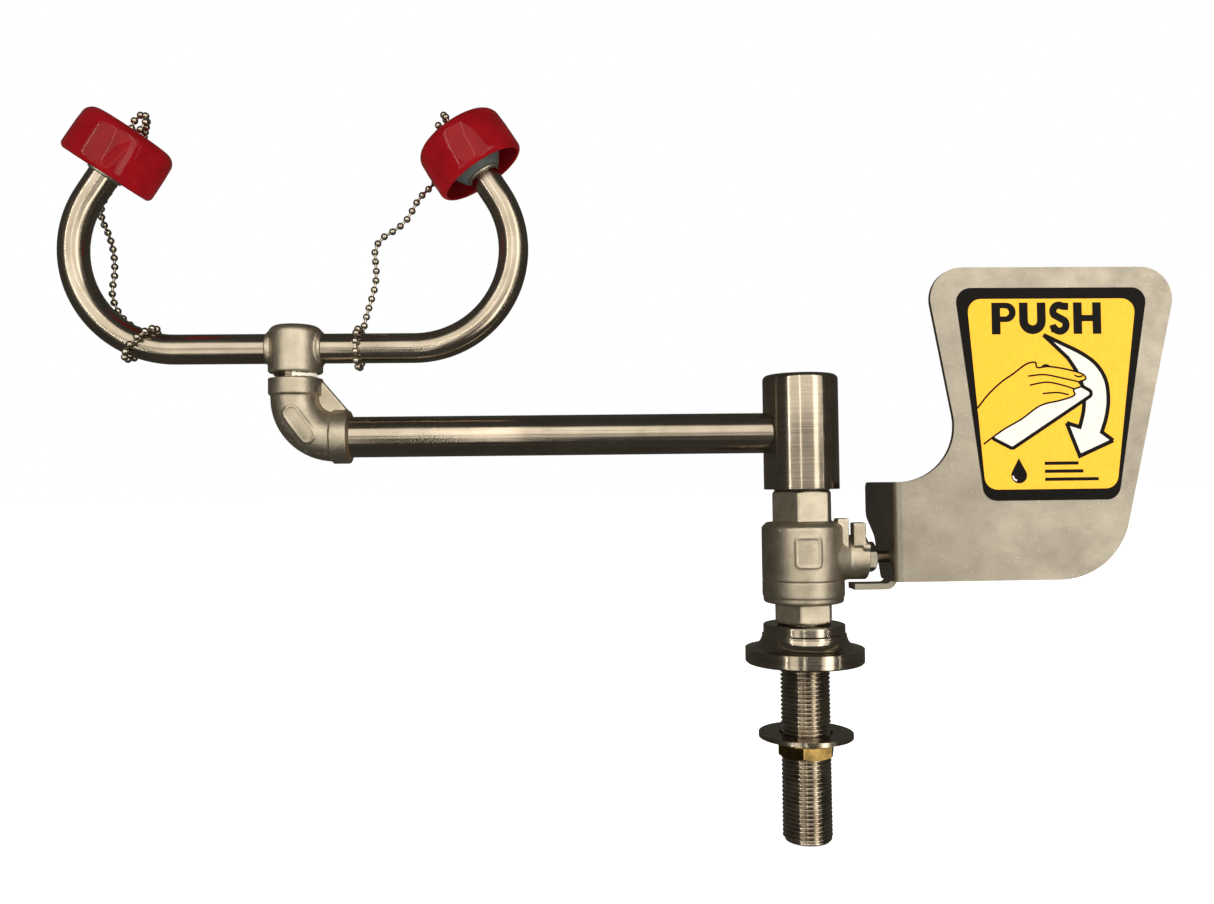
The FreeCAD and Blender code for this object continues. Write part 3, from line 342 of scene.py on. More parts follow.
def cast_stainless(name, grit_mm):
    """Investment-cast stainless, bead blasted: a pebbled satin, paler on its edges, with painted shade
    darkening each crease.

    The real blast marks are about 0.2 mm; they are drawn at 0.45 mm, so that they show.
    """
    material = new_material(name, "#e4dac8", 1.0, 0.42)
    grit = pattern(material, (grit_mm,) * 3, detail=3.0)
    dents = pattern(material, (2.4, 2.4, 2.4), detail=3.0)
    clouds = pattern(material, (9, 9, 9), detail=2.0)
    tone = ramp(material, clouds, ((0.3, "#bdb3a0"), (0.7, "#d6cdbb")))
    tone = blend_colours(material, 0.4, tone, ramp(material, grit, ((0.3, "#a89d8b"), (0.7, "#ffffff"))),
                         "MULTIPLY")
    shape = add_node(material, "ShaderNodeNewGeometry")
    wear = spread(material, shape.outputs["Pointiness"], 0.0, 1.0, 0.52, 0.6)
    tone = blend_colours(material, wear, tone, colour("#fbf5e8"))
    # Painted shade: each concave crease, found by pointiness, is darkened towards dark brown as if shaded.
    painted_crease_shade = spread(material, shape.outputs["Pointiness"], 1.0, 0.0, 0.4, 0.485)
    tone = blend_colours(material, painted_crease_shade, tone, colour("#756a59"))
    feed(material, "Base Color", tone)
    feed(material, "Roughness", spread(material, grit, 0.34, 0.5))
    fine = raise_surface(material, grit, 0.09, 0.8)
    feed(material, "Normal", raise_surface(material, dents, 0.18, 0.6, fine))
    return material


def mill_sheet():
    """Stainless sheet as rolled: grey-beige with cloudy stains, faint rolling lines and tiny bright nicks."""
    material = new_material("rolled_stainless_sheet", "#b9ae9b", 1.0, 0.4)
    clouds = pattern(material, (22, 22, 16), detail=4.0)
    stains = pattern(material, (7, 7, 6), detail=3.0)
    rolling = pattern(material, (30, 30, 0.5), detail=2.0)
    specks = pattern(material, (0.7, 0.7, 0.7), detail=2.0)
    tone = ramp(material, clouds, ((0.3, "#928b7f"), (0.5, "#9f988b"), (0.72, "#aca597")))
    tone = blend_colours(material, 0.22, tone, ramp(material, stains, ((0.3, "#8f887c"), (0.65, "#ffffff"))),
                         "MULTIPLY")
    tone = blend_colours(material, spread(material, specks, 0.0, 0.55, 0.66, 0.74), tone, colour("#f4ecdc"))
    feed(material, "Base Color", tone)
    feed(material, "Roughness", spread(material, stains, 0.33, 0.5))
    lines = raise_surface(material, rolling, 0.004, 0.5)
    feed(material, "Normal", raise_surface(material, clouds, 0.3, 0.25, lines))
    return material


def dipped_vinyl():
    """Dip-moulded red vinyl: a thick glossy skin with a slow ripple, a little paler where it is thin."""
    material = new_material("dipped_red_vinyl", "#8e1219", 0.0, 0.12, Specular_IOR_Level=0.16)
    flow = pattern(material, (9, 9, 9), detail=1.0)
    tone = ramp(material, flow, ((0.3, "#6c0a10"), (0.7, "#7a0d14")))
    feed(material, "Base Color", tone)
    haze = pattern(material, (2.0, 2.0, 2.0), detail=3.0)
    feed(material, "Roughness", spread(material, haze, 0.03, 0.06))
    feed(material, "Normal", raise_surface(material, flow, 0.2, 0.07))
    return material


def moulded_plastic(name, base, roughness, grain_mm=0.6):
    """Injection-moulded plastic: an even, slightly grained skin."""
    material = new_material(name, base, 0.0, roughness, IOR=1.49)
    grain = pattern(material, (grain_mm,) * 3, detail=2.0)
    shade = ramp(material, grain, ((0.3, "#d8d8d8"), (0.7, "#ffffff")))
    feed(material, "Base Color", blend_colours(material, 0.5, colour(base), shade, "MULTIPLY"))
    feed(material, "Roughness", spread(material, grain, roughness - 0.06, roughness + 0.08))
    feed(material, "Normal", raise_surface(material, grain, 0.02, 0.3))
    return material


def printed_film(name, base, gloss=0.2):
    """Printed vinyl film under a satin laminate: flat colour with a faint orange-peel gloss."""
    material = new_material(name, base, 0.0, 0.36, Specular_IOR_Level=gloss)
    peel = pattern(material, (1.4, 1.4, 1.4), detail=2.0)
    shade = ramp(material, peel, ((0.3, "#f1f1f1"), (0.7, "#ffffff")))
    feed(material, "Base Color", blend_colours(material, 1.0, colour(base), shade, "MULTIPLY"))
    feed(material, "Roughness", spread(material, peel, 0.3, 0.42))
    feed(material, "Normal", raise_surface(material, peel, 0.01, 0.4))
    return material


def machined_metal(name, base, roughness, pale, dark):
    """Machined or plated metal: fine tool lines round it and a slightly uneven tone."""
    material = new_material(name, base, 1.0, roughness)
    lines = pattern(material, (6, 6, 0.25), detail=2.0)
    clouds = pattern(material, (5, 5, 5), detail=3.0)
    feed(material, "Base Color", ramp(material, clouds, ((0.3, dark), (0.7, pale))))
    feed(material, "Roughness", spread(material, lines, roughness * 0.8, roughness * 1.3))
    feed(material, "Normal", raise_surface(material, lines, 0.004, 0.5))
    return material


# Lathe lines run round the turned pieces, and belt lines run along the tubes: both draw out each highlight.
# The real lines are under 0.1 mm apart; they are drawn three or four times as coarse, so that they show.
TURNED = brushed_stainless("turned_stainless", (30, 30, 0.35), roughness=(0.1, 0.19))
TURNED_BASE = brushed_stainless("polished_turned_stainless", (30, 30, 0.3), roughness=(0.12, 0.2))
LINISHED_ARM = brushed_stainless("linished_stainless_arm", (60, 0.4, 0.4), roughness=(0.13, 0.22))
LINISHED_YOKE = brushed_stainless("linished_stainless_yoke", (40, 0.4, 40), roughness=(0.14, 0.24))
CASTING = cast_stainless("bead_blasted_casting", 0.45)
# Cut, plated, oiled and stamped metal: glossy, each with its own tone and a trace of its tool.
THREAD = machined_metal("cut_thread_stainless", "#cfc6b7", 0.14, "#cdc5b6", "#a79d8f")
PLATED = machined_metal("nickel_plated_steel", "#b9b0a0", 0.2, "#cdc5b6", "#a79d8d")
STEM_STEEL = machined_metal("oiled_stem_steel", "#6f6455", 0.3, "#7b6f5f", "#463c31")
WASHER = machined_metal("stamped_stainless_washer", "#aba191", 0.2, "#b9af9f", "#8f8575")
BRASS = machined_metal("machined_brass", "#7b6639", 0.2, "#86703f", "#55452a")
SHEET = mill_sheet()
RED_VINYL = dipped_vinyl()
# Plastics and rubber: dull, with a moulded grain; the tape is fibrous and the sealant is brown and lumpy.
SPRAY_PLASTIC = moulded_plastic("grey_moulded_plastic", "#454b48", 0.4)
SEAL = moulded_plastic("white_sealing_plastic", "#e6e3dc", 0.45)
RUBBER = moulded_plastic("black_rubber", "#1a1917", 0.6)
TAPE = moulded_plastic("sealing_tape", "#ece6d8", 0.55, 0.8)
SEALANT = moulded_plastic("dried_thread_sealant", "#4d3823", 0.38, 0.9)
MESH_WIRE = machined_metal("woven_wire_screen", "#a29a8d", 0.35, "#b3ab9d", "#857c6e")
# Inks under a laminate: flat colour, a soft sheen, and a deeper black that hardly shines.
INK_YELLOW = printed_film("yellow_print", "#eab02a")
INK_BLACK = printed_film("black_print", "#0d0b08", 0.06)
INK_WHITE = printed_film("white_print", "#dad3cb")

NODE_FINISHES = {
    "deck_flange": TURNED_BASE, "backing_washer": WASHER, "back_nut": BRASS, "body_seal": SEAL,
    "upper_seat_ring": SEAL, "lower_seat_ring": SEAL, "stem_packing": SEAL, "gland_nut": PLATED,
    "swivel_spindle": PLATED, "swivel_o_rings": RUBBER, "swivel_clip": PLATED, "swivel_washer": RUBBER,
    "valve_ball": PLATED, "valve_stem": STEM_STEEL, "stem_thrust_washer": SEAL, "push_paddle": SHEET,
    "handle_lock_washer": STEM_STEEL, "handle_nut": PLATED, "push_label": INK_BLACK,
    "swivel_barrel": TURNED, "arm_tube": LINISHED_ARM,
    "left_yoke_tube": LINISHED_YOKE, "right_yoke_tube": LINISHED_YOKE,
    "left_spray_cup": SPRAY_PLASTIC, "right_spray_cup": SPRAY_PLASTIC,
    "left_spray_plate": SPRAY_PLASTIC, "right_spray_plate": SPRAY_PLASTIC,
    "left_filter_screen": MESH_WIRE, "right_filter_screen": MESH_WIRE,
}
for node_name, node_finish in NODE_FINISHES.items():
    node_mesh = frame["nodes"][node_name].data
    node_mesh.materials.clear()
    node_mesh.materials.append(node_finish)


# ---------------------------------------------------------------- ball chains

BALL_RADIUS = 1.55 * MM
LINK_RADIUS = 0.7 * MM
BALL_PITCH = 4.15 * MM
BALL_END = 0.93 * BALL_RADIUS          # where each ball is cut flat round its link
LINK_WAIST = 0.8                       # a link's middle, as a share of its ends

CHAIN_ROUTES_MM = {
    "left": [(-277.1, 4.6, 232.9), (-281.0, 12.4, 230.5), (-286.4, 22.0, 229.0), (-290.5, 22.9, 223.0),
             (-298.5, 22.6, 211.5), (-304.5, 19.2, 198.5), (-296.4, 16.0, 184.5), (-293.8, 13.4, 169.5),
             (-295.4, 11.8, 160.2), (-290.2, 10.2, 149.6), (-281.0, 9.6, 143.4), (-275.6, 8.4, 140.8)],
    "right": [(-153.5, 2.3, 230.7), (-154.7, 11.6, 225.4), (-157.5, 17.8, 220.4), (-154.4, 17.6, 212.1),
              (-163.9, 13.0, 202.5), (-169.2, 14.0, 191.0), (-183.9, 12.8, 182.6), (-181.0, 11.6, 167.0),
              (-186.0, 9.8, 150.0), (-187.1, 6.8, 141.6)],
}


def smooth_line(points_mm):
    """The chain's smooth line: a spline over the route's points, read back as close points."""
    curve = bpy.data.curves.new("chain_line", "CURVE")
    curve.dimensions = "3D"
    curve.resolution_u = 16
    spline = curve.splines.new("NURBS")
    spline.points.add(len(points_mm) - 1)
    for point, place in zip(spline.points, points_mm):
        point.co = (*(Vector(place) * MM), 1)
    spline.order_u = 3
    spline.use_endpoint_u = True
    holder = bpy.data.objects.new("chain_line", curve)
    bpy.context.scene.collection.objects.link(holder)
    bpy.context.view_layer.update()
    drawn = bpy.data.meshes.new_from_object(holder)
    line = [vertex.co.copy() for vertex in drawn.vertices]
    bpy.data.objects.remove(holder)
    bpy.data.meshes.remove(drawn)
    return line


def line_length(line):
    """The length of a line of close points."""
    return sum((b - a).length for a, b in zip(line, line[1:]))


def along(line, distance):
    """The place at this distance along a line, and the line's direction there."""
    for a, b in zip(line, line[1:]):
        step = (b - a).length
        if distance <= step:
            return a + (b - a) * (distance / step), (b - a).normalized()
        distance -= step
    return line[-1].copy(), (line[-1] - line[-2]).normalized()


def chain_ball():
    """One hollow ball: a small sphere, flat at each end where the link's shank goes in."""
    pick()
    bpy.ops.mesh.primitive_uv_sphere_add(segments=14, ring_count=9, radius=BALL_RADIUS)
    ball = fresh("chain_ball")
    for vertex in ball.data.vertices:
        if abs(vertex.co.z) > BALL_END:
            vertex.co.z = math.copysign(BALL_END, vertex.co.z)
    soften(ball, 60)
    return ball


def chain_link():
    """One link's shank: a thin rod, waisted at its middle."""
    pick()
    bpy.ops.mesh.primitive_cylinder_add(vertices=8, radius=LINK_RADIUS, depth=BALL_PITCH)
    link = fresh("chain_link")
    edit(link)
    bpy.ops.mesh.bisect(plane_co=(0, 0, 0), plane_no=(0, 0, 1))
    bpy.ops.object.mode_set(mode="OBJECT")
    for vertex in link.data.vertices:
        if abs(vertex.co.z) < BALL_PITCH * 0.1:
            vertex.co.x *= LINK_WAIST
            vertex.co.y *= LINK_WAIST
    soften(link, 60)
    return link


BALL, LINK = chain_ball(), chain_link()


def placed_copy(pattern_piece, name, place, direction, stretch=1.0):
    """A copy of a chain part with its own mesh, turned so that its Z runs in this direction."""
    copy = bpy.data.objects.new(name, pattern_piece.data.copy())
    bpy.context.scene.collection.objects.link(copy)
    turn = direction.to_track_quat("Z", "Y").to_matrix().to_4x4()
    copy.data.transform(Matrix.Translation(place) @ turn @ Matrix.Diagonal((1, 1, stretch, 1)))
    return copy


def chain_on(name, line, closed=False):
    """Balls at an even pitch along a line, with a link's shank between each two."""
    length = line_length(line)
    gaps = max(1, round(length / BALL_PITCH))
    pitch = length / gaps
    count = gaps if closed else gaps + 1
    parts = []
    for number in range(count):
        place, direction = along(line, number * pitch)
        parts.append(placed_copy(BALL, "ball", place, direction))
        if number < gaps:
            far, _ = along(line, (number + 1) * pitch)
            gap = far - place
            parts.append(placed_copy(LINK, "link", place + gap / 2, gap.normalized(),
                                     gap.length / BALL_PITCH))
    return joined(name, parts)


def ring_line(centre, axis, radius, count=96):
    """Points of a full circle about an axis, closed on itself."""
    axis = axis.normalized()
    first = axis.orthogonal().normalized()
    second = axis.cross(first)
    turns = [math.tau * i / count for i in range(count + 1)]
    return [centre + (first * math.cos(t) + second * math.sin(t)) * radius for t in turns]


def head_axis(side):
    """The way a spray head points: up, and in towards the user's face."""
    return Vector((-side * math.sin(HEAD_TILT), 0, math.cos(HEAD_TILT)))


CAP_RING_RADIUS = 4.3 * MM
TUBE_RING_RADIUS = {"left": 8.7 * MM, "right": 8.2 * MM}
LEFT_RING_TURN = math.radians(132.6)
LEFT_CAP_RING_TURN = math.radians(55)

for hand, side in (("left", -1), ("right", 1)):
    line = smooth_line(CHAIN_ROUTES_MM[hand])
    upright = head_axis(side)
    ring_axis = Matrix.Rotation(-side * HEAD_TILT, 3, "Y") @ (
        Matrix.Rotation(0 if side > 0 else LEFT_CAP_RING_TURN, 3, "Z") @ Vector((1, 0, 0)))
    cap_ring = chain_on(hand + "_cap_ring_balls",
                        ring_line(middle(hand + "_cap_ring"), ring_axis, CAP_RING_RADIUS), True)
    tube_axis = Vector((1, 0, 0)) if side > 0 else Matrix.Rotation(LEFT_RING_TURN, 3, "Y") @ UP
    tube_ring = chain_on(hand + "_tube_ring_balls",
                         ring_line(middle(hand + "_tube_ring"), tube_axis, TUBE_RING_RADIUS[hand]), True)
    fit_out(cap_ring, hand + "_cap", "chain_steel", PLATED, hand + "_cap_ring")
    fit_out(tube_ring, "arm", "chain_steel", PLATED, hand + "_tube_ring")
    chain = chain_on(hand + "_ball_chain", line)
    fit_out(chain, None, "chain_steel", PLATED, hand + "_chain_upper", hand + "_chain_lower")
    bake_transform(chain)
    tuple(line[0])
    line_length(line)
for spare in (BALL, LINK):
    bpy.data.objects.remove(spare)


# ---------------------------------------------------------------- threads

THREAD_PROFILE = (0.0, 0.25, 0.55, 0.85, 1.0, 0.85, 0.55, 0.25)
RUN_OUT_MM = 1.2


def threaded(name, crest_mm, root_mm, bore_mm, low_mm, high_mm, pitch_mm, around=96):
    """A tube with a cut thread: a grid, skewed by one pitch so its rows follow the helix, and rolled up."""
    rows = len(THREAD_PROFILE)
    turns = math.ceil((high_mm - low_mm) / pitch_mm) + 1
    pick()
    bpy.ops.mesh.primitive_grid_add(x_subdivisions=around, y_subdivisions=turns * rows, size=1)
    piece = fresh(name)
    for vertex in piece.data.vertices:
        share, row = vertex.co.x + 0.5, round((vertex.co.y + 0.5) * turns * rows)
        z = min(high_mm, max(low_mm, low_mm + (row / rows - 1 + share) * pitch_mm))
        run_out = max(0.0, min(1.0, (z - low_mm) / RUN_OUT_MM, (high_mm - z) / RUN_OUT_MM))
        radius = root_mm + (crest_mm - root_mm) * THREAD_PROFILE[row % rows] * run_out
        turn = math.tau * share
        vertex.co = Vector((radius * math.cos(turn), radius * math.sin(turn), z)) * MM
    tidy(piece)
    edit(piece, False)
    bpy.ops.mesh.select_mode(type="EDGE")
    bpy.ops.mesh.select_non_manifold()
    bpy.ops.mesh.extrude_edges_move()
    share = bore_mm / root_mm
    bpy.ops.transform.resize(value=(share, share, 1))
    bpy.ops.mesh.bridge_edge_loops()
    bpy.ops.mesh.select_mode(type="VERT")
    tidy(piece)
    return soften(piece, 80)


SHANK_CREST_MM, SHANK_BORE_MM, SHANK_TOP_MM = 10.48, 7.6, 16.8
THREAD_DEPTH_MM, HALF_INCH_PITCH_MM = 1.16, 25.4 / 14
NIPPLE_CREST_MM, NIPPLE_ROOT_MM, NIPPLE_BORE_MM, NIPPLE_PITCH_MM = 8.9, 8.2, 7.0, 1.337

shank = threaded("threaded_shank", SHANK_CREST_MM, SHANK_CREST_MM - THREAD_DEPTH_MM, SHANK_BORE_MM,
                 SHANK_LOW.z / MM, SHANK_TOP_MM, HALF_INCH_PITCH_MM)
fit_out(shank, "base", "threaded_steel", THREAD, "mounting_shank")

nipple_low, nipple_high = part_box("elbow_nipple")
nipple = threaded("threaded_nipple", NIPPLE_CREST_MM, NIPPLE_ROOT_MM, NIPPLE_BORE_MM,
                  nipple_low.z / MM, nipple_high.z / MM, NIPPLE_PITCH_MM, 64)
nipple.data.transform(Matrix.Translation((TEE_X, 0, 0)))
fit_out(nipple, "arm", "threaded_steel", THREAD, "elbow_nipple")


# ---------------------------------------------------------------- castings

def merged_copy(name, node):
    """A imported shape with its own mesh, its loose triangles merged."""
    copy = bpy.data.objects.new(name, frame["nodes"][node].data.copy())
    bpy.context.scene.collection.objects.link(copy)
    return tidy(copy, 2e-5, outwards=False)


def soft_casting(name, copy, cell_mm, passes, extras=()):
    """A casting's rounded corners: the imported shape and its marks, cut into small cells and relaxed."""
    piece = joined(name, [copy, *extras])
    finish_with(piece, "REMESH", mode="VOXEL", voxel_size=cell_mm * MM)
    finish_with(piece, "SMOOTH", factor=0.5, iterations=passes)
    return soften(piece, 70)


def cast_outline(copy, corners_mm, corner_mm, bead_mm, front=-0.04):
    """A raised line cast on a front face: a closed outline seen from -Y, laid on the surface behind it."""
    spots = []
    outline = rounded(corners_mm, corner_mm)
    for here, there in zip(outline, outline[1:] + outline[:1]):
        for step in (0, 0.34, 0.67):
            x, z = (Vector(here).lerp(Vector(there), step) * MM)
            found, place, _, _ = copy.ray_cast((x, front, z), (0, 1, 0))
            if found:
                spots.append(place)
    return wire("cast_outline", spots, bead_mm * MM)


def collar(name, place, axis, around_mm, thick_mm, steps=64):
    """A round bead about an axis, such as a weld or a squeezed-out seal."""
    pick()
    bpy.ops.mesh.primitive_torus_add(major_radius=around_mm * MM, minor_radius=thick_mm * MM,
                                     major_segments=steps, minor_segments=12)
    piece = fresh(name)
    turn = axis.to_track_quat("Z", "Y").to_matrix().to_4x4()
    piece.data.transform(Matrix.Translation(place) @ turn)
    return soften(piece, 60)


ALONG_X = Vector((1, 0, 0))
BODY_MARK_MM = [(-6.2, 41.2), (-6.2, 53.3), (3.4, 53.3), (3.4, 41.2)]
ELBOW_MARK_MM = [(-217.0, 107.2), (-212.4, 111.2), (-202.6, 97.8), (-207.2, 93.8)]
MARK_BEAD_MM = 0.45
WELD_INSET = 0.5 * MM

body_copy = merged_copy("cast_valve_body", "valve_body")
body_mark = cast_outline(body_copy, BODY_MARK_MM, 1.6, MARK_BEAD_MM)
valve_body = soft_casting("cast_valve_body", body_copy, 0.4, 5, [body_mark])
fit_out(valve_body, "base", "cast_steel", CASTING, "valve_body")
valve_end = soft_casting("cast_valve_end", merged_copy("cast_valve_end", "valve_end_piece"), 0.42, 4)
fit_out(valve_end, "base", "cast_steel", CASTING, "valve_end_piece")
elbow_copy = merged_copy("cast_elbow", "elbow")
elbow_mark = cast_outline(elbow_copy, ELBOW_MARK_MM, 2.6, MARK_BEAD_MM)
elbow = soft_casting("cast_elbow", elbow_copy, 0.38, 5, [elbow_mark])
fit_out(elbow, "arm", "cast_steel", CASTING, "elbow")
tee_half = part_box("yoke_tee")[1].x - TEE_X
tee_welds = [collar("tee_weld", (TEE_X + side * (tee_half - WELD_INSET), 0, BAR_Z), ALONG_X, 6.4, 1.0)
             for side in (-1, 1)]
tee = soft_casting("cast_tee", merged_copy("cast_tee", "yoke_tee"), 0.4, 5, tee_welds)
fit_out(tee, "arm", "cast_steel", CASTING, "yoke_tee")

sealant = collar("thread_sealant", (ELBOW_HIGH.x + 0.1 * MM, 0, ARM_Z), ALONG_X, 8.75, 0.6)
fit_out(sealant, "arm", "ptfe", SEALANT)


TAPE_RADIUS_MM, TAPE_THICK_MM = 9.35, 0.18


def tape_wisp(low_mm, high_mm, first, last, seed):
    """The ragged end of white sealing tape that shows in the gap above the elbow."""
    chance = random.Random(seed)
    pick()
    bpy.ops.mesh.primitive_grid_add(x_subdivisions=26, y_subdivisions=2, size=1)
    piece = fresh("sealing_tape")
    for vertex in piece.data.vertices:
        turn = math.radians(first + (last - first) * (vertex.co.x + 0.5))
        ragged = chance.uniform(-0.25, 0.25) if abs(vertex.co.y) > 0.1 else 0.0
        z = low_mm + (high_mm - low_mm) * (vertex.co.y + 0.5) + ragged
        radius = TAPE_RADIUS_MM + chance.uniform(-0.08, 0.08)
        vertex.co = Vector((radius * math.sin(turn), -radius * math.cos(turn), z)) * MM
        vertex.co.x += TEE_X
    finish_with(piece, "SOLIDIFY", thickness=TAPE_THICK_MM * MM, offset=0)
    return soften(piece, 60)


tape = tape_wisp(ELBOW_HIGH.z / MM + 0.35, TEE_LOW / MM - 0.3, 5, 82, 4)
fit_out(tape, "arm", "ptfe", TAPE)


# ---------------------------------------------------------------- dust caps

CAP_START_MM, CAP_TOP_MM, CAP_RADIUS_MM, CAP_WALL_MM = 10.6, 32.8, 20.2, 1.4
CUP_START_MM = 11.2


def cap_profile():
    """Half outline of a dipped cap: domed crown, soft shoulder, a rolled lip, and the skin's inner face."""
    inner = CAP_RADIUS_MM - CAP_WALL_MM
    outside = [(0, CAP_TOP_MM), (7, CAP_TOP_MM - 0.05), (12, CAP_TOP_MM - 0.25)]
    outside += arc((CAP_RADIUS_MM - 5.6, CAP_TOP_MM - 5.4), 5.0, 80, 8, 8)
    outside += [(CAP_RADIUS_MM - 0.35, CAP_TOP_MM - 10), (CAP_RADIUS_MM - 0.3, CAP_START_MM + 5.5)]
    lip = arc((CAP_RADIUS_MM - 2.9, CAP_START_MM + 2.6), 2.6, 0, -55, 7)
    lip += arc((CAP_RADIUS_MM - 1.9, CAP_START_MM + 0.75), 0.55, -80, -190, 5)
    inside = [(inner - 0.3, CAP_START_MM + 3), (inner - 0.3, CAP_TOP_MM - 9)]
    inside += arc((CAP_RADIUS_MM - 5.7, CAP_TOP_MM - 5.5), 4.0, 5, 85, 6)
    return outside + lip + inside + [(6, CAP_TOP_MM - CAP_WALL_MM), (0, CAP_TOP_MM - CAP_WALL_MM)]


def ripple(piece, depth_mm, size_mm, seed):
    """The slight unevenness of a dipped skin."""
    drift = Vector((seed * 0.37, seed * 0.11))
    for vertex in piece.data.vertices:
        radial = Vector((vertex.co.x, vertex.co.y, 0))
        if radial.length > 4 * MM:
            wave = math.sin(vertex.co.x / (size_mm * MM) + drift.x)
            wave += math.sin(vertex.co.y / (size_mm * MM) + drift.y)
            vertex.co += radial.normalized() * wave * 0.5 * depth_mm * MM


for hand, side in (("left", -1), ("right", 1)):
    cap = turned(hand + "_dipped_cap", cap_profile(), 72)
    ripple(cap, 0.12, 7.5, side + 2)
    reach = YOKE_HALF_MM + YOKE_BEND_MM * math.cos(HEAD_TILT)
    rise = YOKE_BEND_MM * (1 + math.sin(HEAD_TILT))
    bend_end = Vector((TEE_X + side * reach * MM, 0, BAR_Z + rise * MM))
    cap.data.transform(Matrix.Translation(bend_end) @ Matrix.Rotation(-side * HEAD_TILT, 4, "Y"))
    weld_place = bend_end + head_axis(side) * (CUP_START_MM * MM - WELD_INSET)
    weld = collar(hand + "_head_weld", weld_place, head_axis(side), 6.5, 0.9, 40)
    fit_out(weld, "arm", "cast_steel", CASTING)
    soften(cap, 50)
    fit_out(cap, hand + "_cap", "red_vinyl", RED_VINYL, hand + "_dust_cap")


# ---------------------------------------------------------------- printed label

LAYER = 0.012 * MM                     # the thickness of one layer of ink
INK = {"yellow": [], "black": [], "white": []}


def flat_shape(outlines, layer, ink):
    """A filled flat shape in the plate's plane, from closed outlines in mm; an inner outline is a hole.

    The layer is how many ink thicknesses it stands in front of the label, so no two shapes share a plane.
    """
    curve = bpy.data.curves.new("flat_shape", "CURVE")
    curve.dimensions = "2D"
    curve.fill_mode = "FRONT"
    for outline in outlines:
        spline = curve.splines.new("POLY")
        spline.points.add(len(outline) - 1)
        for point, (x, z) in zip(spline.points, outline):
            point.co = (x * MM, z * MM, 0, 1)
        spline.use_cyclic_u = True
    piece = bpy.data.objects.new("flat_shape", curve)
    bpy.context.scene.collection.objects.link(piece)
    pick(piece)
    bpy.ops.object.convert(target="MESH")
    upright = Matrix.Rotation(math.pi / 2, 4, "X")
    piece.data.transform(Matrix.Translation((0, LABEL_FACE - layer * LAYER, 0)) @ upright)
    INK[ink].append(piece)


PATH_STEPS = 5


def smooth_path(points):
    """A smooth line through a few points in mm."""
    last = len(points) - 1
    path = []
    for i in range(last):
        a, b, c, d = (Vector(points[min(max(i + k, 0), last)]) for k in (-1, 0, 1, 2))
        for step in range(PATH_STEPS):
            t = step / PATH_STEPS
            spot = 0.5 * (2 * b + (c - a) * t + (2 * a - 5 * b + 4 * c - d) * t ** 2
                          + (3 * b - a - 3 * c + d) * t ** 3)
            path.append((spot.x, spot.y))
    return path + [tuple(points[-1])]


def edges_of(path, width, closed=False):
    """The two sides of a line of this width, mitred at its corners."""
    count = len(path)
    left, right = [], []
    for i, point in enumerate(path):
        here = Vector(point)
        before = Vector(path[i - 1]) if closed or i else here
        after = Vector(path[(i + 1) % count]) if closed or i < count - 1 else here
        back, ahead = (here - before).normalized(), (after - here).normalized()
        course = (back + ahead).normalized() if (back + ahead).length > 0.01 else back
        square = Vector((-course.y, course.x))
        mitre = width / 2 / max(0.45, abs(square.dot(Vector((-ahead.y, ahead.x)))) if ahead.length else 1.0)
        left.append(tuple(here + square * mitre))
        right.append(tuple(here - square * mitre))
    return left, right


def stroke(path, width, layer, ink="black", closed=False):
    """A drawn line of one width."""
    left, right = edges_of(path, width, closed)
    flat_shape([left, right] if closed else [left + right[::-1]], layer, ink)


def bar(x0, z0, x1, z1):
    """A plain black bar, where small print would be."""
    flat_shape([[(x0, z0), (x1, z0), (x1, z1), (x0, z1)]], 2, "black")


# The letters' foot and head, and the width of their upright strokes.
LETTER_LOW, LETTER_HIGH, STEM = 137.3, 150.7, 3.75


def letter_p(x):
    bowl = 4.1
    centre = (x + 6.3, LETTER_HIGH - bowl)
    outside = [(x, LETTER_LOW), (x, LETTER_HIGH)] + arc(centre, bowl, 90, -90, 14)
    outside += [(x + STEM, LETTER_HIGH - 2 * bowl), (x + STEM, LETTER_LOW)]
    hole_radius = bowl - 2.4
    hole = [(x + STEM, centre[1] + hole_radius)] + arc((x + 5.8, centre[1]), hole_radius, 90, -90, 10)
    flat_shape([outside, hole + [(x + STEM, centre[1] - hole_radius)]], 2, "black")


def letter_u(x, width=11.4):
    outer, inner = width / 2, width / 2 - STEM
    centre = (x + outer, LETTER_LOW + outer)
    outside = [(x, LETTER_HIGH)] + arc(centre, outer, 180, 360, 16) + [(x + width, LETTER_HIGH)]
    inside = [(x + width - STEM, LETTER_HIGH)] + arc(centre, inner, 360, 180, 12) + [(x + STEM, LETTER_HIGH)]
    flat_shape([outside + inside], 2, "black")


def letter_s(x):
    upper = arc((x + 4.3, LETTER_HIGH - 3.75), 2.6, 35, 215, 9)
    lower = arc((x + 4.5, LETTER_LOW + 3.95), 2.75, 40, -150, 10)
    top_end, low_end = (x + 8.4, LETTER_HIGH - 1.75), (x + 0.5, LETTER_LOW + 2.1)
    stroke([top_end] + upper[1:] + lower + [low_end], 3.1, 2)


def letter_h(x, width=12.0, tie=1.35):
    middle_z = (LETTER_LOW + LETTER_HIGH) / 2
    inner, outer = x + STEM, x + width - STEM
    left_half = [(x, LETTER_LOW), (x, LETTER_HIGH), (inner, LETTER_HIGH), (inner, middle_z + tie)]
    right_half = [(outer, middle_z + tie), (outer, LETTER_HIGH), (x + width, LETTER_HIGH),
                  (x + width, LETTER_LOW), (outer, LETTER_LOW), (outer, middle_z - tie)]
    flat_shape([left_half + right_half + [(inner, middle_z - tie), (inner, LETTER_LOW)]], 2, "black")


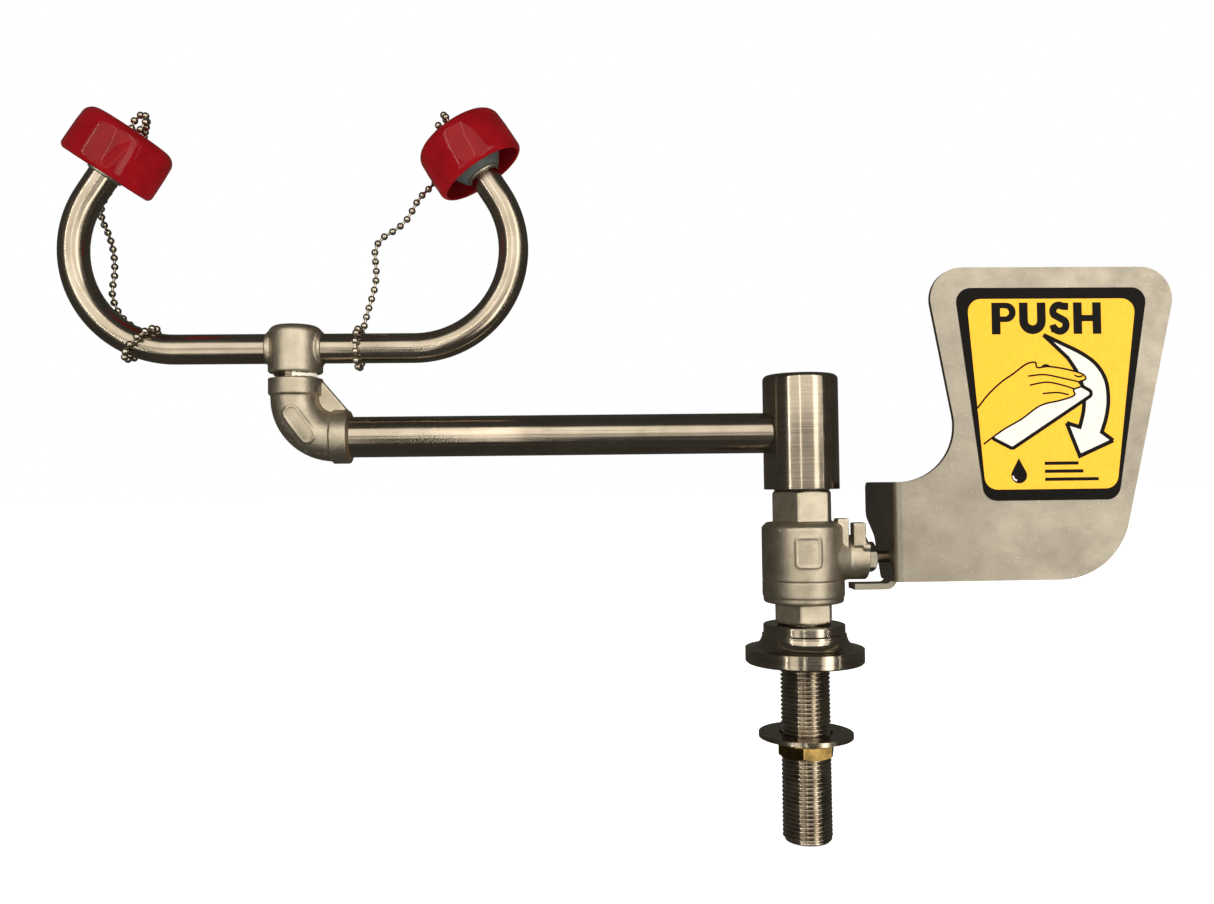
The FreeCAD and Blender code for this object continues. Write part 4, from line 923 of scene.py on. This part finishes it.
def drop_icon(x, z, size):
    """A plain water drop with a pale glint."""
    drop = [(x, z + size * 0.62)] + arc((x, z - size * 0.1), size * 0.34, 25, -205, 16)
    flat_shape([drop], 2, "black")
    glint = arc((x - size * 0.06, z - size * 0.12), size * 0.2, 180, 260, 6)
    stroke(glint, size * 0.07, 3, "white")


PANEL_MM = [(68.5, 152.3), (74.9, 72.1), (131.0, 72.1), (141.2, 152.3)]
ARROW_BACK_MM = [(101.0, 137.0), (109.0, 133.2), (117.0, 129.2), (123.2, 124.6), (127.2, 118.0),
                 (128.2, 110.0), (127.2, 102.5), (125.0, 95.8)]
ARROW_HEAD_MM = [(129.8, 92.2), (115.3, 85.8), (110.0, 99.8)]
ARROW_FRONT_MM = [(115.6, 98.0), (117.4, 105.0), (117.6, 112.5), (115.6, 120.0), (111.2, 127.2)]
PLATE_MM = [(77.4, 94.0), (86.6, 89.2), (122.3, 112.2), (101.3, 124.4)]
PALM_MM = [(72.0, 106.2), (76.8, 112.0), (82.5, 117.2), (87.6, 120.6), (93.2, 124.6), (97.2, 125.4),
           (98.0, 123.2), (103.0, 123.6), (110.5, 122.4), (117.2, 120.4), (118.6, 118.2), (115.8, 117.0),
           (116.6, 115.2), (113.4, 113.8), (113.6, 111.4), (108.0, 109.4), (99.0, 107.2), (90.8, 101.6),
           (82.6, 97.0), (74.4, 91.2)]
FINGER_LINES_MM = [[(94.0, 119.6), (101.0, 120.2), (109.0, 118.6), (116.0, 117.0)],
                   [(94.6, 115.8), (102.0, 117.0), (109.0, 115.6), (113.8, 114.0)],
                   [(100.0, 112.2), (106.5, 112.6), (111.2, 111.6)],
                   [(113.8, 119.9), (115.6, 119.2), (117.4, 119.6)]]


ARROW_LINE_MM, PLATE_LINE_MM, HAND_LINE_MM, FINGER_LINE_MM = 1.7, 1.5, 0.75, 0.7
BARS_LEFT_MM, BARS_LOW_MM, BAR_STEP_MM, BAR_THICK_MM = 100.2, 82.2, 3.35, 1.4
BAR_LENGTHS_MM = (14.5, 16.5, 23.0)


def print_label():
    """Yellow panel in a black border: the word PUSH, a hand on a plate, and an arrow that swings down."""
    flat_shape([rounded(PANEL_MM, 5.5)], 1, "yellow")
    for draw, place in ((letter_p, 79.0), (letter_u, 90.8), (letter_s, 103.6), (letter_h, 114.0)):
        draw(place)
    arrow = smooth_path(ARROW_BACK_MM) + ARROW_HEAD_MM + smooth_path(ARROW_FRONT_MM)
    flat_shape([arrow], 2, "white")
    stroke(smooth_path(ARROW_BACK_MM) + ARROW_HEAD_MM[:1], ARROW_LINE_MM, 3)
    stroke(ARROW_HEAD_MM, ARROW_LINE_MM, 3.3)
    stroke(ARROW_HEAD_MM[2:] + smooth_path(ARROW_FRONT_MM) + ARROW_BACK_MM[:1], ARROW_LINE_MM, 3.6)
    plate = rounded(PLATE_MM, 1.6)
    flat_shape([plate], 4, "white")
    stroke(plate, PLATE_LINE_MM, 5, closed=True)
    palm = smooth_path(PALM_MM)
    flat_shape([palm], 6, "yellow")
    stroke(palm, HAND_LINE_MM, 7)
    for line in FINGER_LINES_MM:
        stroke(smooth_path(line), FINGER_LINE_MM, 8)
    drop_icon(89.2, 79.0, 10.0)
    for row, length in enumerate(BAR_LENGTHS_MM):
        low = BARS_LOW_MM - row * BAR_STEP_MM
        bar(BARS_LEFT_MM, low, BARS_LEFT_MM + length, low + BAR_THICK_MM)
    for ink, material in (("yellow", INK_YELLOW), ("black", INK_BLACK), ("white", INK_WHITE)):
        fit_out(joined("label_" + ink, INK[ink]), "paddle", "label", material)


print_label()


# ---------------------------------------------------------------- light, floor and camera

def soft_box(name, place, target, width, height, watts, tint):
    """A rectangular studio light that faces a point and is not seen itself."""
    lamp = bpy.data.lights.new(name, "AREA")
    lamp.shape = "RECTANGLE"
    lamp.size, lamp.size_y = width, height
    lamp.energy = watts
    lamp.color = colour(tint)[:3]
    holder = bpy.data.objects.new(name, lamp)
    holder.location = place
    holder.rotation_euler = (Vector(target) - Vector(place)).to_track_quat("-Z", "Y").to_euler()
    holder.visible_camera = False
    bpy.context.scene.collection.objects.link(holder)
    return holder


PANEL_DISTANCE = 0.95
STRIP_DISTANCE, STRIP_Z, STRIP_HEIGHT = 0.9, 0.25, 1.6
WIDEST_STRIP_TURN = 0.62               # the cosine past which a strip comes no further away
# Upright strips: bearing in degrees from straight ahead, width in metres, and radiance.
STRIPS = {"far_left_strip": (-47, 0.012, 27.0), "left_strip": (-13, 0.016, 8.0),
          "right_strip": (34, 0.26, 2.1), "far_right_strip": (56, 0.014, 9.0)}
# What the surroundings are to the eye, in the metal's mirror, and as soft light on dull surfaces.
SURROUNDINGS = (("#ffffff", 1.0), ("#454440", 1.1), ("#f2efe9", 0.35))


def power(radiance, width, height):
    """The power in watts that gives a flat light this radiance."""
    return radiance * math.pi * width * height


def panel(name, x, low, high, width, radiance):
    """An upright panel in front of the object, from one height to another."""
    place = (x, -PANEL_DISTANCE, (low + high) / 2)
    soft_box(name, place, (x, 0, place[2]), width, high - low, power(radiance, width, high - low), "#fff9ee")


def studio():
    """Warm light from in front: a broad field above the horizon, thinner ones below, and upright strips."""
    panel("upper_field", 0.05, 0.16, 1.0, 2.4, 1.6)
    panel("horizon_field", 0.05, 0.02, 0.13, 2.4, 0.6)
    panel("lower_field", 0.05, -0.10, 0.0, 2.2, 1.3)
    panel("low_left_card", -0.62, -0.62, -0.12, 0.36, 1.6)
    panel("low_right_card", 0.62, -0.62, -0.12, 0.55, 1.6)
    for name, (bearing, across, radiance) in STRIPS.items():
        turn = math.radians(bearing)
        distance = STRIP_DISTANCE / max(WIDEST_STRIP_TURN, math.cos(turn))
        place = (math.sin(turn) * distance, -math.cos(turn) * distance, STRIP_Z)
        soft_box(name, place, (0, 0, STRIP_Z), across, STRIP_HEIGHT,
                 power(radiance, across, STRIP_HEIGHT), "#fffaf1")
    overhead = soft_box("top_fill", (-0.1, 0.1, 1.3), (-0.1, 0, 0), 1.2, 0.9, 4.0, "#fffaf2")
    overhead.visible_glossy = False


def pale_world():
    """Plain pale surroundings to the eye, dim ones for what the metal mirrors."""
    world = bpy.data.worlds.new("studio")
    bpy.context.scene.world = world
    world.use_nodes = True
    world.node_tree.nodes.clear()
    path = add_node(world, "ShaderNodeLightPath")
    seen, mirrored, soft = (
        add_node(world, "ShaderNodeBackground", {}, {"Color": colour(code), "Strength": strength}).outputs[0]
        for code, strength in SURROUNDINGS)
    unseen = add_node(world, "ShaderNodeMixShader", {}, {
        0: path.outputs["Is Diffuse Ray"], 1: mirrored, 2: soft})
    whole = add_node(world, "ShaderNodeMixShader", {}, {
        0: path.outputs["Is Camera Ray"], 1: unseen.outputs[0], 2: seen})
    add_node(world, "ShaderNodeOutputWorld", {}, {"Surface": whole.outputs[0]})


FLOOR_SIZE, FLOOR_GAP = 30, 0.0004


def pale_floor():
    """A plain pale floor just under the shank; it lights nothing from below and takes no reflection."""
    pick()
    bpy.ops.mesh.primitive_plane_add(size=FLOOR_SIZE, location=(0, 0, SHANK_LOW.z - FLOOR_GAP))
    floor = settle(fresh("floor"))
    paint = new_material("pale_floor_paint", "#f4f3f1", 0.0, 0.9, Specular_IOR_Level=0.0,
                         Emission_Color=(1, 1, 1, 1), Emission_Strength=0.85)
    floor.data.materials.append(paint)
    floor.visible_glossy = False
    floor.visible_shadow = False


CAMERA_PLACE = (-0.10007, -0.43417, 0.0767)
CAMERA_YAW, CAMERA_PITCH, CAMERA_ROLL = (math.radians(a) for a in (2.25, 1.75, 0.68))
LENS_MM, SENSOR_MM = 30.37, 36.0


def camera():
    """The viewing angle: level with the valve, a little to the left, turned slightly towards the paddle."""
    ahead = Vector((math.sin(CAMERA_YAW) * math.cos(CAMERA_PITCH),
                    math.cos(CAMERA_YAW) * math.cos(CAMERA_PITCH),
                    math.sin(CAMERA_PITCH)))
    right = Vector((math.cos(CAMERA_YAW), -math.sin(CAMERA_YAW), 0))
    up = right.cross(ahead)
    right, up = (right * math.cos(CAMERA_ROLL) - up * math.sin(CAMERA_ROLL),
                 right * math.sin(CAMERA_ROLL) + up * math.cos(CAMERA_ROLL))
    lens = bpy.data.cameras.new("camera")
    lens.sensor_width = SENSOR_MM
    lens.lens = LENS_MM
    lens.clip_start, lens.clip_end = 0.01, 100
    holder = bpy.data.objects.new("camera", lens)
    holder.matrix_world = Matrix.Translation(CAMERA_PLACE) @ Matrix(
        (right, up, -ahead)).transposed().to_4x4()
    bpy.context.scene.collection.objects.link(holder)
    bpy.context.scene.camera = holder


studio()
pale_world()
pale_floor()
camera()
bpy.context.scene.view_settings.view_transform = "Standard"
